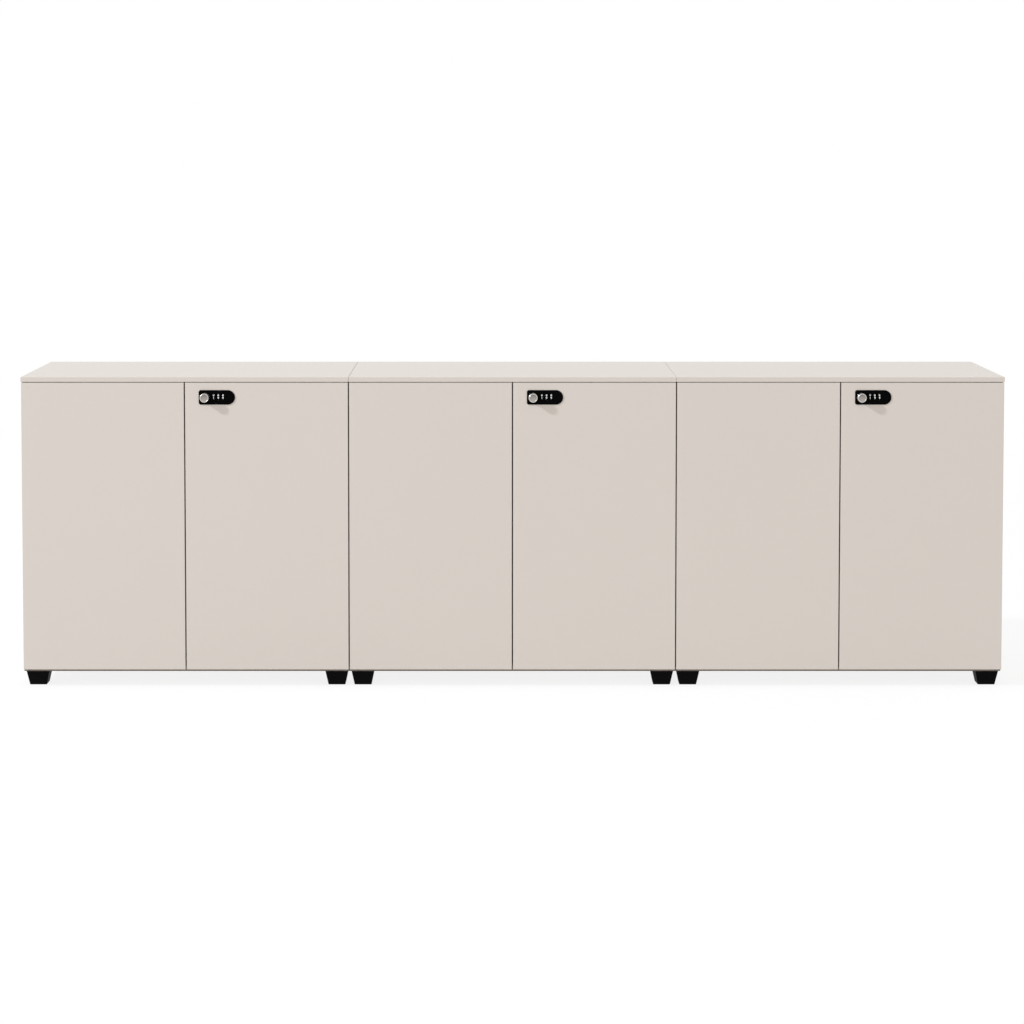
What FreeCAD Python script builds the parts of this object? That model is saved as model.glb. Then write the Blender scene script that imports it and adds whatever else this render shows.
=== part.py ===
import FreeCAD, Part
import os
import re

import Sketcher
from FreeCAD import Placement, Rotation, Vector

# Office credenza: a row of equal two-door cupboards, bolted side by side, each on four tapered feet.
#
# Millimetres. +X runs along the row, +Y from the doors to the back, +Z up. The origin lies on the
# floor under the middle of the whole row, with its knobs counted in the depth.
#
# Three directions are used for sizes and places: "across" is measured from a cupboard's left side
# plane, "back" from the doors' front faces, and "up" from the floor.

UNITS = 3
HOLES_PER_ROW = 7
SHELF_HOLE = 3
DIALS = 3
FIGURES_PER_DIAL = 10

# An edge counts as running along an axis, and a corner as lying on a line, within this much.
TOLERANCE = 0.01

SIZES = (
    # alias, size, what it measures
    ("unit_pitch", 800.0, "from one cupboard to the next"),
    ("overall_height", 763.0, "floor to the face of the top"),
    ("top_depth", 450.0, "door fronts to the rear edge"),
    ("top_thickness", 12.0, "top panel"),
    ("top_joint_gap", 0.5, "between neighbouring top panels"),
    ("edge_radius", 1.0, "banded edges of tops and doors"),
    ("board_thickness", 16.0, "sides, bottoms, rails and shelves"),
    ("back_thickness", 8.0, "back panel"),
    ("back_recess", 12.0, "rear edge to the back panel"),
    ("groove_depth", 6.0, "groove that holds the back panel"),
    ("fit_clearance", 0.1, "around a piece let into a board"),
    ("rail_depth", 80.0, "rails under the top"),
    ("shelf_setback", 25.0, "carcass front to the shelf"),
    ("shelf_end_gap", 1.5, "each end of the shelf"),
    ("shelf_back_gap", 2.0, "shelf to the back panel"),
    ("door_thickness", 18.0, "doors"),
    ("door_gap", 3.0, "between neighbouring doors"),
    ("door_top_gap", 1.5, "door to the top panel"),
    ("door_lap", 7.5, "carcass underside to the door's lower edge"),
    ("door_back_gap", 2.0, "door to the carcass"),
    ("buffer_radius", 3.5, "door buffer"),
    ("buffer_clearance", 0.3, "door buffer to the closed door"),
    ("buffer_inset", 20.0, "door's free edge to its buffers"),
    ("buffer_height", 12.0, "carcass underside to the lower buffers"),
    ("buffer_drop", 10.0, "top panel's underside to the upper buffers"),
    ("foot_height", 36.0, "foot"),
    ("foot_top_width", 56.5, "foot where it meets the carcass"),
    ("foot_base_width", 41.5, "foot at the floor"),
    ("foot_inset", 4.0, "carcass edges to the foot"),
    ("foot_round", 2.0, "rounded edges of the foot"),
    ("stud_radius", 4.0, "threaded stud of a foot"),
    ("stud_clearance", 0.1, "stud in its holes"),
    ("stud_bite", 12.0, "stud in the bottom panel"),
    ("stud_drop", 18.0, "stud in the foot"),
    ("peg_radius", 2.5, "shelf peg"),
    ("peg_clearance", 0.05, "shelf peg in its hole"),
    ("peg_bite", 9.0, "shelf peg in the side"),
    ("peg_reach", 8.0, "shelf peg under the shelf"),
    ("peg_collar_radius", 4.0, "collar of a shelf peg"),
    ("peg_collar_thickness", 1.2, "collar of a shelf peg"),
    ("hole_depth", 11.0, "holes for shelf pegs"),
    ("hole_pitch", 32.0, "one peg hole to the next"),
    ("hole_setback", 37.0, "board edge to a row of peg holes"),
    ("first_hole_height", 290.0, "floor to the lowest peg hole"),
    ("bolt_radius", 3.0, "bolt that joins two cupboards"),
    ("bolt_clearance", 0.1, "bolt in its hole"),
    ("bolt_head_radius", 7.0, "bolt and sleeve heads"),
    ("bolt_head_thickness", 2.0, "bolt and sleeve heads"),
    ("bolt_inset", 60.0, "side panel's edges to the bolts"),
    ("hinge_inset", 5.0, "door's edge and face to its pivot"),
    ("pivot_radius", 2.0, "pivot pin"),
    ("pivot_clearance", 0.05, "pivot pin in the leaf"),
    ("pivot_reach", 4.0, "pivot pin beyond the leaf"),
    ("pivot_room", 1.0, "around and beyond the pin's end"),
    ("leaf_margin", 2.0, "door's edge to its leaf"),
    ("leaf_length", 40.0, "leaf along the door"),
    ("leaf_width", 13.0, "leaf through the door"),
    ("leaf_thickness", 3.0, "leaf"),
    ("bearing_gap", 0.3, "lower pivot plate to the leaf"),
    ("plate_width", 24.0, "pivot plate in the carcass"),
    ("plate_bite", 22.0, "pivot plate behind the carcass front"),
    ("plate_thickness", 3.0, "pivot plate"),
    ("nose_width", 10.0, "pivot plate under the door"),
    ("nose_round", 2.5, "corners of leaves and pivot plates"),
    ("lock_inset", 33.5, "door's free edge to the lock plate"),
    ("lock_drop", 36.0, "door's top to the lock's middle"),
    ("bezel_length", 88.5, "lock plate"),
    ("bezel_height", 35.5, "lock plate"),
    ("bezel_thickness", 2.5, "lock plate"),
    ("bezel_corner", 5.0, "lock plate's square end"),
    ("case_inset", 5.0, "lock plate's edge to its case"),
    ("case_length", 76.0, "lock case in the door"),
    ("case_height", 28.0, "lock case in the door"),
    ("case_depth", 24.0, "door's face to the case's end"),
    ("case_clearance", 0.3, "lock case in its cut-out"),
    ("spindle_inset", 15.0, "lock plate's edge to the spindle"),
    ("spindle_radius", 6.0, "spindle in the case"),
    ("spindle_neck", 4.0, "spindle in the cam"),
    ("spindle_tail", 5.0, "spindle behind the cam"),
    ("knob_radius", 11.0, "knob"),
    ("knob_reach", 20.0, "door's face to the knob's face"),
    ("knob_length", 16.0, "knob"),
    ("knob_chamfer", 1.2, "knob's front edge"),
    ("knob_dish_radius", 8.3, "recess in the knob's face"),
    ("knob_dish_depth", 0.6, "recess in the knob's face"),
    ("dial_radius", 11.5, "dial"),
    ("dial_width", 6.6, "dial"),
    ("dial_pitch", 11.4, "one dial to the next"),
    ("dial_offset", 21.5, "spindle to the first dial"),
    ("dial_proud", 0.8, "dial in front of the lock plate"),
    ("dial_gap", 0.5, "around a dial"),
    ("dial_groove", 0.8, "groove between two figures"),
    ("window_height", 20.0, "dial window in the lock plate"),
    ("axle_radius", 1.5, "dials' axle"),
    ("axle_bite", 2.0, "axle's ends in the case"),
    ("cam_thickness", 3.0, "lock cam"),
    ("cam_hub_radius", 8.0, "lock cam's hub"),
    ("cam_arm_width", 12.0, "lock cam's arms"),
    ("cam_long_reach", 68.0, "spindle to the long arm's tip"),
    ("cam_short_reach", 18.0, "spindle to the short arm's tip"),
    ("strike_play", 1.0, "before and behind the strike"),
    ("strike_thickness", 2.0, "strike"),
    ("strike_width", 24.0, "strike"),
    ("strike_drop", 11.0, "rail's underside to the strike's edge"),
    ("strike_leg", 30.0, "strike under the rail"),
    ("keeper_thickness", 2.0, "keeper"),
    ("keeper_width", 19.0, "keeper"),
    ("keeper_inset", 3.0, "door's free edge to the keeper"),
    ("keeper_play", 2.0, "keeper above the locked arm"),
    ("keeper_slack", 3.0, "locked arm to the keeper's lip"),
    ("keeper_lip", 16.0, "keeper's lip"),
    ("keeper_height", 25.0, "keeper's plate on the door"),
)

PLACES = (
    # alias, formula, what it places
    ("front_face", "-(top_depth - knob_reach) / 2", "doors' front faces along Y"),
    ("carcass_front", "door_thickness + door_back_gap", "carcass's front edges"),
    ("side_depth", "top_depth - carcass_front", "side panel"),
    ("top_underside", "overall_height - top_thickness", "top panel's underside"),
    ("side_height", "top_underside - foot_height", "side panel"),
    ("inner_width", "unit_pitch - 2 * board_thickness", "between the sides"),
    ("back_front", "top_depth - back_recess - back_thickness", "back panel's front face"),
    ("rail_underside", "top_underside - board_thickness", "rails' underside"),
    ("bottom_face", "foot_height + board_thickness", "bottom panel's upper face"),
    ("shelf_depth", "back_front - shelf_back_gap - carcass_front - shelf_setback", "shelf"),
    ("door_width", "unit_pitch / 2 - door_gap", "door"),
    ("door_bottom", "foot_height + door_lap", "doors' lower edges"),
    ("door_top", "top_underside - door_top_gap", "doors' upper edges"),
    ("door_height", "door_top - door_bottom", "door"),
    ("left_free_edge", "door_gap / 2 + door_width", "left door's free edge"),
    ("right_free_edge", "left_free_edge + door_gap", "right door's free edge"),
    ("foot_offset", "foot_inset + foot_top_width / 2", "carcass edges to a foot's middle"),
    ("stud_length", "stud_drop + stud_bite", "stud"),
    ("front_row", "carcass_front + hole_setback", "front row of peg holes"),
    ("rear_row", "back_front - hole_setback", "rear row of peg holes"),
    ("peg_height", "first_hole_height + %d * hole_pitch" % SHELF_HOLE, "shelf pegs"),
    ("leaf_edge", "door_gap / 2 + leaf_margin", "outer edges of leaves and pivot plates"),
    ("pivot_line", "door_gap / 2 + hinge_inset", "pivot axis"),
    ("lower_plate", "door_bottom - bearing_gap - plate_thickness", "lower pivot plate"),
    ("pivot_bore_depth", "leaf_thickness + pivot_reach + pivot_room", "bore for a pivot pin"),
    ("lock_height", "door_top - lock_drop", "lock's middle line"),
    ("bezel_edge", "right_free_edge + lock_inset", "lock plate's left edge"),
    ("spindle_line", "bezel_edge + spindle_inset", "knob, spindle and cam axis"),
    ("dial_depth", "dial_radius - bezel_thickness - dial_proud", "dials' axis"),
    ("strike_front", "case_depth + strike_play", "strike's flange"),
    ("cam_front", "strike_front + strike_thickness + strike_play", "cam's front face"),
    ("cam_end", "cam_front + cam_thickness", "cam's rear face"),
    ("keeper_edge", "left_free_edge - keeper_inset - keeper_width", "keeper's left edge"),
    ("keeper_web", "lock_height + cam_arm_width / 2 + keeper_play", "keeper's web"),
    ("keeper_top", "keeper_web + keeper_thickness", "keeper's upper face"),
    ("lip_front", "cam_end + keeper_slack", "keeper's lip"),
    ("keeper_depth", "lip_front + keeper_thickness - door_thickness", "keeper's web"),
)

TURNED = {
    "x": Rotation(Vector(0, 1, 0), 90),
    "y": Rotation(Vector(1, 0, 0), -90),
    "z": Rotation(),
}

doc = FreeCAD.newDocument("credenza")
cells = {}
nodes = []


# ---------------------------------------------------------------- sheets and formulas


def formula(text):
    """Turn the plain words for sizes and places in a formula into references to their cells."""
    return re.sub(r"[a-z][a-z_]+", lambda word: cells.get(word.group(), word.group()), text)


def fill_sheet(name, rows, write):
    """Make a sheet with one named cell a row, beside the words that say what the cell measures."""
    sheet = doc.addObject("Spreadsheet::Sheet", name)
    for row, (alias, content, meaning) in enumerate(rows, start=1):
        sheet.set(f"A{row}", meaning)
        sheet.set(f"B{row}", write(content))
        sheet.setAlias(f"B{row}", alias)
        cells[alias] = f"{name}.{alias}"
    doc.recompute()
    return sheet


sizes = fill_sheet("sizes", SIZES, str)
places = fill_sheet("places", PLACES, lambda text: "=" + formula(text))


def bind(thing, bindings):
    """Bind properties of an object to formulas, and return the object."""
    for prop, text in bindings.items():
        thing.setExpression(prop, formula(text))
    return thing


def put(thing, unit, across, back, up):
    """Place an object in a cupboard of the row: across, back and up are formulas."""
    return bind(
        thing,
        {
            "Placement.Base.x": f"{unit - UNITS / 2} * unit_pitch + {across}",
            "Placement.Base.y": f"front_face + {back}",
            "Placement.Base.z": up,
        },
    )


def from_side(side, inset, width="0"):
    """Across formula of something inset from a cupboard's left side plane, or from its right one."""
    return inset if side == "left" else f"unit_pitch - ({inset}) - ({width})"


# ---------------------------------------------------------------- primitives and booleans


def block(name, unit, across, back, up, length, depth, height):
    """A box with its lowest corner at a place in a cupboard."""
    box = doc.addObject("Part::Box", name)
    bind(box, {"Length": length, "Width": depth, "Height": height})
    return put(box, unit, across, back, up)


def rod(name, unit, across, back, up, radius, length, along="z"):
    """A cylinder that starts at a place in a cupboard and runs along one axis."""
    cylinder = doc.addObject("Part::Cylinder", name)
    cylinder.Placement = Placement(Vector(), TURNED[along])
    bind(cylinder, {"Radius": radius, "Height": length})
    return put(cylinder, unit, across, back, up)


def fuse(name, pieces):
    """Several overlapping or touching pieces as one solid."""
    joined = doc.addObject("Part::MultiFuse", name)
    joined.Shapes = pieces
    joined.Refine = True
    return joined


def cut(name, base, tool):
    """One piece with another taken out of it."""
    left = doc.addObject("Part::Cut", name)
    left.Base = base
    left.Tool = tool
    return left


def group(name, pieces):
    """Equal loose pieces as one object."""
    together = doc.addObject("Part::Compound", name)
    together.Links = pieces
    return together


def rounded(name, base, radius, wanted):
    """A piece with the edges that a test picks out rounded by the size of that name."""
    doc.recompute()
    value = sizes.get(radius)
    edges = enumerate(base.Shape.Edges, start=1)
    picked = [(number, value, value) for number, edge in edges if wanted(edge)]
    fillet = doc.addObject("Part::Fillet", name)
    fillet.Base = base
    fillet.Edges = picked
    return fillet


def keep(name, thing):
    """Name a finished sub-part for its file."""
    thing.Label = name
    nodes.append(thing)
    return thing


def direction(edge):
    """Unit vector along a straight edge."""
    first, last = edge.Vertexes[0].Point, edge.Vertexes[-1].Point
    return (last - first).normalize() if first != last else Vector()


def is_upright(edge):
    """True for a vertical straight edge."""
    return abs(direction(edge).z) > 1 - TOLERANCE


# ---------------------------------------------------------------- sketched features


def new_sketch(body, name, role, offset="0"):
    """A sketch on one of the body's own planes, moved along the plane's normal by a formula."""
    plane = next(item for item in body.Origin.OriginFeatures if item.Role == role)
    sketch = body.newObject("Sketcher::SketchObject", name)
    sketch.AttachmentSupport = (plane, [""])
    sketch.MapMode = "FlatFace"
    return bind(sketch, {"AttachmentOffset.Base.z": offset})


def measure(sketch, kind, text, *ends):
    """Add a dimension to a sketch and bind it to a formula."""
    value = float(sketch.evalExpression(formula(text)))
    number = sketch.addConstraint(Sketcher.Constraint(kind, *ends, value))
    sketch.setExpression(f"Constraints[{number}]", formula(text))


def pin_down(sketch, geometry, point, x, y):
    """Hold a point of the sketch at x, y from the sketch's origin."""
    measure(sketch, "DistanceX", x, -1, 1, geometry, point)
    measure(sketch, "DistanceY", y, -1, 1, geometry, point)


def outline(sketch, corners):
    """Draw a closed outline of straight lines through corners, each a pair of formulas."""
    points = [
        Vector(*(float(sketch.evalExpression(formula(text))) for text in corner), 0)
        for corner in corners
    ]
    lines = [Part.LineSegment(a, b) for a, b in zip(points, points[1:] + points[:1])]
    geometry = sketch.addGeometry(lines, False)
    for here, after in zip(geometry, geometry[1:] + geometry[:1]):
        sketch.addConstraint(Sketcher.Constraint("Coincident", here, 2, after, 1))
    for line, (x, y) in zip(geometry, corners):
        pin_down(sketch, line, 1, x, y)


def rectangle(sketch, x, y, width, height):
    """Draw a rectangle from its lower left corner."""
    right, top = f"({x}) + ({width})", f"({y}) + ({height})"
    outline(sketch, [(x, y), (right, y), (right, top), (x, top)])


def circle(sketch, x, y, radius):
    """Draw a circle about a point."""
    geometry = sketch.addGeometry(Part.Circle(Vector(1, 1, 0), Vector(0, 0, 1), 1), False)
    pin_down(sketch, geometry, 3, x, y)
    measure(sketch, "Radius", radius, geometry)


def new_body(name, unit, across, back, up):
    """An empty body at a place in a cupboard."""
    return put(doc.addObject("PartDesign::Body", name), unit, across, back, up)


def pad(body, sketch, length):
    """Extrude a sketch along its normal."""
    feature = body.newObject("PartDesign::Pad", sketch.Name + "_pad")
    feature.Profile = sketch
    return bind(feature, {"Length": length})


def pocket(body, sketch, depth=None, along_normal=False):
    """Cut a sketch's outlines to a depth, or right through, and test that material went."""
    doc.recompute()
    before = body.Shape.Volume
    feature = body.newObject("PartDesign::Pocket", sketch.Name + "_pocket")
    feature.Profile = sketch
    feature.Reversed = along_normal
    if depth is None:
        feature.Type = "ThroughAll"
    else:
        bind(feature, {"Length": depth})
    doc.recompute()
    if not feature.Shape.Volume < before:
        raise RuntimeError(f"{feature.Name} cuts nothing")
    return feature


def round_all_edges(body, base, radius):
    """Round every edge of a body's first pad."""
    doc.recompute()
    feature = body.newObject("PartDesign::Fillet", body.Name + "_rounding")
    feature.Base = (base, [f"Edge{number + 1}" for number in range(len(base.Shape.Edges))])
    return bind(feature, {"Radius": radius})


def board(name, unit, across, back, up, length, depth, height):
    """A body that starts as a plain board, and the board's pad."""
    body = new_body(name, unit, across, back, up)
    sketch = new_sketch(body, name + "_outline", "XY_Plane")
    rectangle(sketch, "0", "0", length, depth)
    return body, pad(body, sketch, height)


# ---------------------------------------------------------------- carcass


def plate_corners(side, width, left, front, margin):
    """Outline of a pivot plate in a board's own plane, with a margin around it.

    width is the board's, left and front are the board's own place in the cupboard.
    """
    outer = f"leaf_edge - {margin} - {left}"
    nose = f"leaf_edge + nose_width + {margin} - {left}"
    inner = f"leaf_edge + plate_width + {margin} - {left}"
    start = f"leaf_margin - {margin} - {front}"
    step = f"carcass_front - {margin} - {front}"
    end = f"carcass_front + plate_bite + {margin} - {front}"
    corners = [(outer, start), (nose, start), (nose, step), (inner, step), (inner, end), (outer, end)]
    if side == "right":
        corners = [(f"{width} - ({x})", y) for x, y in corners]
    return corners


def top_panel(name, unit):
    """The thin top over carcass and doors, with the upper pivot plates let into its underside."""
    left = "top_joint_gap / 2"
    width = "unit_pitch - top_joint_gap"
    body, plain = board(
        name, unit, left, "0", "top_underside", width, "top_depth", "top_thickness"
    )
    round_all_edges(body, plain, "edge_radius")
    for side in ("left", "right"):
        sketch = new_sketch(body, f"{name}_{side}_recess", "XY_Plane")
        outline(sketch, plate_corners(side, f"({width})", left, "0", "fit_clearance"))
        pocket(body, sketch, "plate_thickness", along_normal=True)
    return body


def side_panel(name, unit, side):
    """A side with the back panel's groove, two rows of peg holes, bolt holes and the plate's slot."""
    left = side == "left"
    body, _ = board(
        name,
        unit,
        from_side(side, "0", "board_thickness"),
        "carcass_front",
        "foot_height",
        "board_thickness",
        "side_depth",
        "side_height",
    )
    groove = new_sketch(body, name + "_groove", "XY_Plane")
    rectangle(
        groove,
        "board_thickness - groove_depth" if left else "0",
        "back_front - carcass_front - fit_clearance",
        "groove_depth",
        "back_thickness + 2 * fit_clearance",
    )
    pocket(body, groove, along_normal=True)

    slot = new_sketch(body, name + "_slot", "XZ_Plane")
    rectangle(
        slot,
        "leaf_edge - fit_clearance" if left else "0",
        "lower_plate - foot_height - fit_clearance",
        "board_thickness - leaf_edge + fit_clearance",
        "plate_thickness + 2 * fit_clearance",
    )
    pocket(body, slot, "plate_bite + fit_clearance")

    bolts = new_sketch(body, name + "_bolts", "YZ_Plane")
    for y in ("bolt_inset", "side_depth - bolt_inset"):
        for z in ("bolt_inset", "side_height - bolt_inset"):
            circle(bolts, y, z, "bolt_radius + bolt_clearance")
    pocket(body, bolts, along_normal=True)

    holes = new_sketch(body, name + "_holes", "YZ_Plane", "board_thickness" if left else "0")
    for y in ("front_row - carcass_front", "rear_row - carcass_front"):
        circle(holes, y, "first_hole_height - foot_height", "peg_radius + peg_clearance")
    first = pocket(body, holes, "hole_depth", along_normal=not left)
    rows = body.newObject("PartDesign::LinearPattern", name + "_hole_rows")
    rows.Originals = [first]
    rows.Direction = (holes, ["V_Axis"])
    rows.Occurrences = HOLES_PER_ROW
    bind(rows, {"Length": f"{HOLES_PER_ROW - 1} * hole_pitch"})
    body.Tip = rows
    return body


def bottom_panel(name, unit):
    """The bottom between the sides, with its groove, the plates' slots and the studs' holes."""
    body, _ = board(
        name,
        unit,
        "board_thickness",
        "carcass_front",
        "foot_height",
        "inner_width",
        "side_depth",
        "board_thickness",
    )
    groove = new_sketch(body, name + "_groove", "XY_Plane", "board_thickness")
    rectangle(
        groove,
        "0",
        "back_front - carcass_front - fit_clearance",
        "inner_width",
        "back_thickness + 2 * fit_clearance",
    )
    pocket(body, groove, "groove_depth")

    reach = "leaf_edge + plate_width + fit_clearance - board_thickness"
    slots = new_sketch(body, name + "_slots", "XZ_Plane")
    for x in ("0", f"inner_width - ({reach})"):
        rectangle(
            slots,
            x,
            "lower_plate - foot_height - fit_clearance",
            reach,
            "plate_thickness + 2 * fit_clearance",
        )
    pocket(body, slots, "plate_bite + fit_clearance")

    studs = new_sketch(body, name + "_studs", "XY_Plane")
    for x in ("foot_offset - board_thickness", "inner_width + board_thickness - foot_offset"):
        for y in ("foot_offset", "side_depth - foot_offset"):
            circle(studs, x, y, "stud_radius + stud_clearance")
    pocket(body, studs, "stud_bite + stud_clearance", along_normal=True)
    return body


def back_panel(name, unit):
    """The thin back, held in the grooves of the sides and the bottom."""
    bite = "groove_depth - fit_clearance"
    return block(
        name,
        unit,
        f"board_thickness - ({bite})",
        "back_front",
        f"bottom_face - ({bite})",
        f"inner_width + 2 * ({bite})",
        "back_thickness",
        f"top_underside - bottom_face + {bite}",
    )


def shelf(name, unit):
    """The adjustable shelf on its four pegs."""
    return block(
        name,
        unit,
        "board_thickness + shelf_end_gap",
        "carcass_front + shelf_setback",
        "peg_height + peg_radius",
        "inner_width - 2 * shelf_end_gap",
        "shelf_depth",
        "board_thickness",
    )


def top_rails(unit):
    """The front and rear rails that carry the top panel."""
    return [
        block(
            f"unit{unit + 1}_{end}_rail",
            unit,
            "board_thickness",
            back,
            "rail_underside",
            "inner_width",
            "rail_depth",
            "board_thickness",
        )
        for end, back in (("front", "carcass_front"), ("rear", "back_front - rail_depth"))
    ]


# ---------------------------------------------------------------- doors and pivots


def door(name, unit, side):
    """A door with a mortise and a bore for a pivot in both ends of its hinge side."""
    body, plain = board(
        name,
        unit,
        from_side(side, "door_gap / 2", "door_width"),
        "0",
        "door_bottom",
        "door_width",
        "door_thickness",
        "door_height",
    )
    round_all_edges(body, plain, "edge_radius")
    for end, height in (("lower", "0"), ("upper", "door_height")):
        inwards = end == "lower"
        mortise = new_sketch(body, f"{name}_{end}_mortise", "XY_Plane", height)
        inset = "leaf_margin - fit_clearance"
        length = "leaf_length + 2 * fit_clearance"
        x = inset if side == "left" else f"door_width - ({inset}) - ({length})"
        rectangle(mortise, x, inset, length, "leaf_width + 2 * fit_clearance")
        pocket(body, mortise, "leaf_thickness", along_normal=inwards)
        bore = new_sketch(body, f"{name}_{end}_bore", "XY_Plane", height)
        x = "hinge_inset" if side == "left" else "door_width - hinge_inset"
        circle(bore, x, "hinge_inset", "pivot_radius + pivot_room")
        pocket(body, bore, "pivot_bore_depth", along_normal=inwards)
    return body


def lock_cutout(body):
    """The opening through the right door that the lock's case passes."""
    sketch = new_sketch(body, body.Name + "_lock_cutout", "XZ_Plane")
    rectangle(
        sketch,
        "lock_inset + case_inset - case_clearance",
        "lock_height - door_bottom - case_height / 2 - case_clearance",
        "case_length + 2 * case_clearance",
        "case_height + 2 * case_clearance",
    )
    pocket(body, sketch)


def at_pivot_end(edge, side, unit):
    """True for an upright edge on the outer side of a leaf or plate, where it rounds the pin."""
    outer = (unit - UNITS / 2) * sizes.get("unit_pitch")
    reach = places.get("leaf_edge")
    line = outer + reach if side == "left" else outer + sizes.get("unit_pitch") - reach
    return is_upright(edge) and abs(edge.Vertexes[0].X - line) < TOLERANCE


def pivot_leaves(name, unit, side):
    """The two steel leaves let into a door's ends, each with a hole for a pivot pin."""
    leaves = []
    for end, up in (("lower", "door_bottom"), ("upper", "door_top - leaf_thickness")):
        label = f"{name}_{end}"
        plain = block(
            label + "_plate",
            unit,
            from_side(side, "leaf_edge", "leaf_length"),
            "leaf_margin",
            up,
            "leaf_length",
            "leaf_width",
            "leaf_thickness",
        )
        soft = rounded(
            label + "_rounding",
            plain,
            "nose_round",
            lambda edge: at_pivot_end(edge, side, unit),
        )
        hole = rod(
            label + "_hole",
            unit,
            from_side(side, "pivot_line"),
            "hinge_inset",
            up,
            "pivot_radius + pivot_clearance",
            "leaf_thickness",
        )
        leaves.append(cut(label, soft, hole))
    return group(name, leaves)


def pivot_plate(name, unit, side, up, pin_up, pin_length):
    """A steel plate fixed in the carcass, with a nose over or under the door and its pin."""
    plate = block(
        name + "_plate",
        unit,
        from_side(side, "leaf_edge", "plate_width"),
        "carcass_front",
        up,
        "plate_width",
        "plate_bite",
        "plate_thickness",
    )
    nose = block(
        name + "_nose",
        unit,
        from_side(side, "leaf_edge", "nose_width"),
        "leaf_margin",
        up,
        "nose_width",
        "carcass_front - leaf_margin + plate_bite / 2",
        "plate_thickness",
    )
    front = places.get("front_face") + sizes.get("leaf_margin")
    flat = rounded(
        name + "_rounding",
        fuse(name + "_flat", [plate, nose]),
        "nose_round",
        lambda edge: is_upright(edge) and abs(edge.Vertexes[0].Y - front) < TOLERANCE,
    )
    pin = rod(
        name + "_pin",
        unit,
        from_side(side, "pivot_line"),
        "hinge_inset",
        pin_up,
        "pivot_radius",
        pin_length,
    )
    return fuse(name, [flat, pin])


def lower_pivot(name, unit, side):
    """The lower pivot plate, let into the carcass's front edge, with its pin pointing up."""
    pin = "plate_thickness + bearing_gap + leaf_thickness + pivot_reach"
    return pivot_plate(name, unit, side, "lower_plate", "lower_plate", pin)


def upper_pivot(name, unit, side):
    """The upper pivot plate, let into the top panel's underside, with its pin pointing down."""
    pin = "plate_thickness + door_top_gap + leaf_thickness + pivot_reach"
    pin_up = "door_top - leaf_thickness - pivot_reach"
    return pivot_plate(name, unit, side, "top_underside", pin_up, pin)


# ---------------------------------------------------------------- lock


def lock_housing(name, unit):
    """The lock plate and its case in one moulding, with dial slots, their axle and the bore."""
    middle = "lock_height"
    radius = "bezel_height / 2"
    slab = block(
        name + "_slab",
        unit,
        "bezel_edge",
        "-bezel_thickness",
        f"{middle} - {radius}",
        f"bezel_length - {radius}",
        "bezel_thickness",
        "bezel_height",
    )
    left = (unit - UNITS / 2) * sizes.get("unit_pitch") + places.get("bezel_edge")

    def at_square_end(edge):
        """True for an edge through the plate's thickness at its left end."""
        return abs(direction(edge).y) > 1 - TOLERANCE and abs(edge.Vertexes[0].X - left) < TOLERANCE

    soft = rounded(name + "_corners", slab, "bezel_corner", at_square_end)
    round_end = rod(
        name + "_round_end",
        unit,
        f"bezel_edge + bezel_length - {radius}",
        "-bezel_thickness",
        middle,
        radius,
        "bezel_thickness",
        along="y",
    )
    case = block(
        name + "_case",
        unit,
        "bezel_edge + case_inset",
        "0",
        f"{middle} - case_height / 2",
        "case_length",
        "case_depth",
        "case_height",
    )
    solid = fuse(name + "_solid", [soft, round_end, case])
    bore = rod(
        name + "_bore",
        unit,
        "spindle_line",
        "-bezel_thickness",
        middle,
        "spindle_radius + pivot_clearance",
        "case_depth + bezel_thickness",
        along="y",
    )
    openings = [bore]
    for number in range(DIALS):
        start = f"spindle_line + dial_offset + {number} * dial_pitch - dial_width / 2 - dial_gap"
        for label, back, depth, half in (
            ("window", "-bezel_thickness", "bezel_thickness", "window_height / 2"),
            ("slot", "0", "dial_depth + dial_radius + dial_gap", "(dial_radius + dial_gap)"),
        ):
            openings.append(
                block(
                    f"{name}_{label}_{number + 1}",
                    unit,
                    start,
                    back,
                    f"{middle} - {half}",
                    "dial_width + 2 * dial_gap",
                    depth,
                    f"2 * {half}",
                )
            )
    hollow = cut(name + "_hollow", solid, fuse(name + "_openings", openings))
    ends = "dial_width / 2 + dial_gap + axle_bite"
    axle = rod(
        name + "_axle",
        unit,
        f"spindle_line + dial_offset - ({ends})",
        "dial_depth",
        middle,
        "axle_radius",
        f"{DIALS - 1} * dial_pitch + 2 * ({ends})",
        along="x",
    )
    return fuse(name, [hollow, axle])


def lock_knob(name, unit):
    """The knob and its spindle, turned in one piece, from the dished face to the nut's thread."""
    body = new_body(name, unit, "spindle_line", "-knob_reach", "lock_height")
    profile = new_sketch(body, name + "_profile", "XY_Plane")
    shoulder = "knob_reach + cam_front"
    end = "knob_reach + cam_end + spindle_tail"
    outline(
        profile,
        [
            ("0", "knob_dish_depth"),
            ("knob_dish_radius", "knob_dish_depth"),
            ("knob_dish_radius", "0"),
            ("knob_radius - knob_chamfer", "0"),
            ("knob_radius", "knob_chamfer"),
            ("knob_radius", "knob_length"),
            ("spindle_radius", "knob_length"),
            ("spindle_radius", shoulder),
            ("spindle_neck", shoulder),
            ("spindle_neck", end),
            ("0", end),
        ],
    )
    turned = body.newObject("PartDesign::Revolution", name + "_turned")
    turned.Profile = profile
    turned.ReferenceAxis = (profile, ["V_Axis"])
    turned.Angle = 360
    return body


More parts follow.
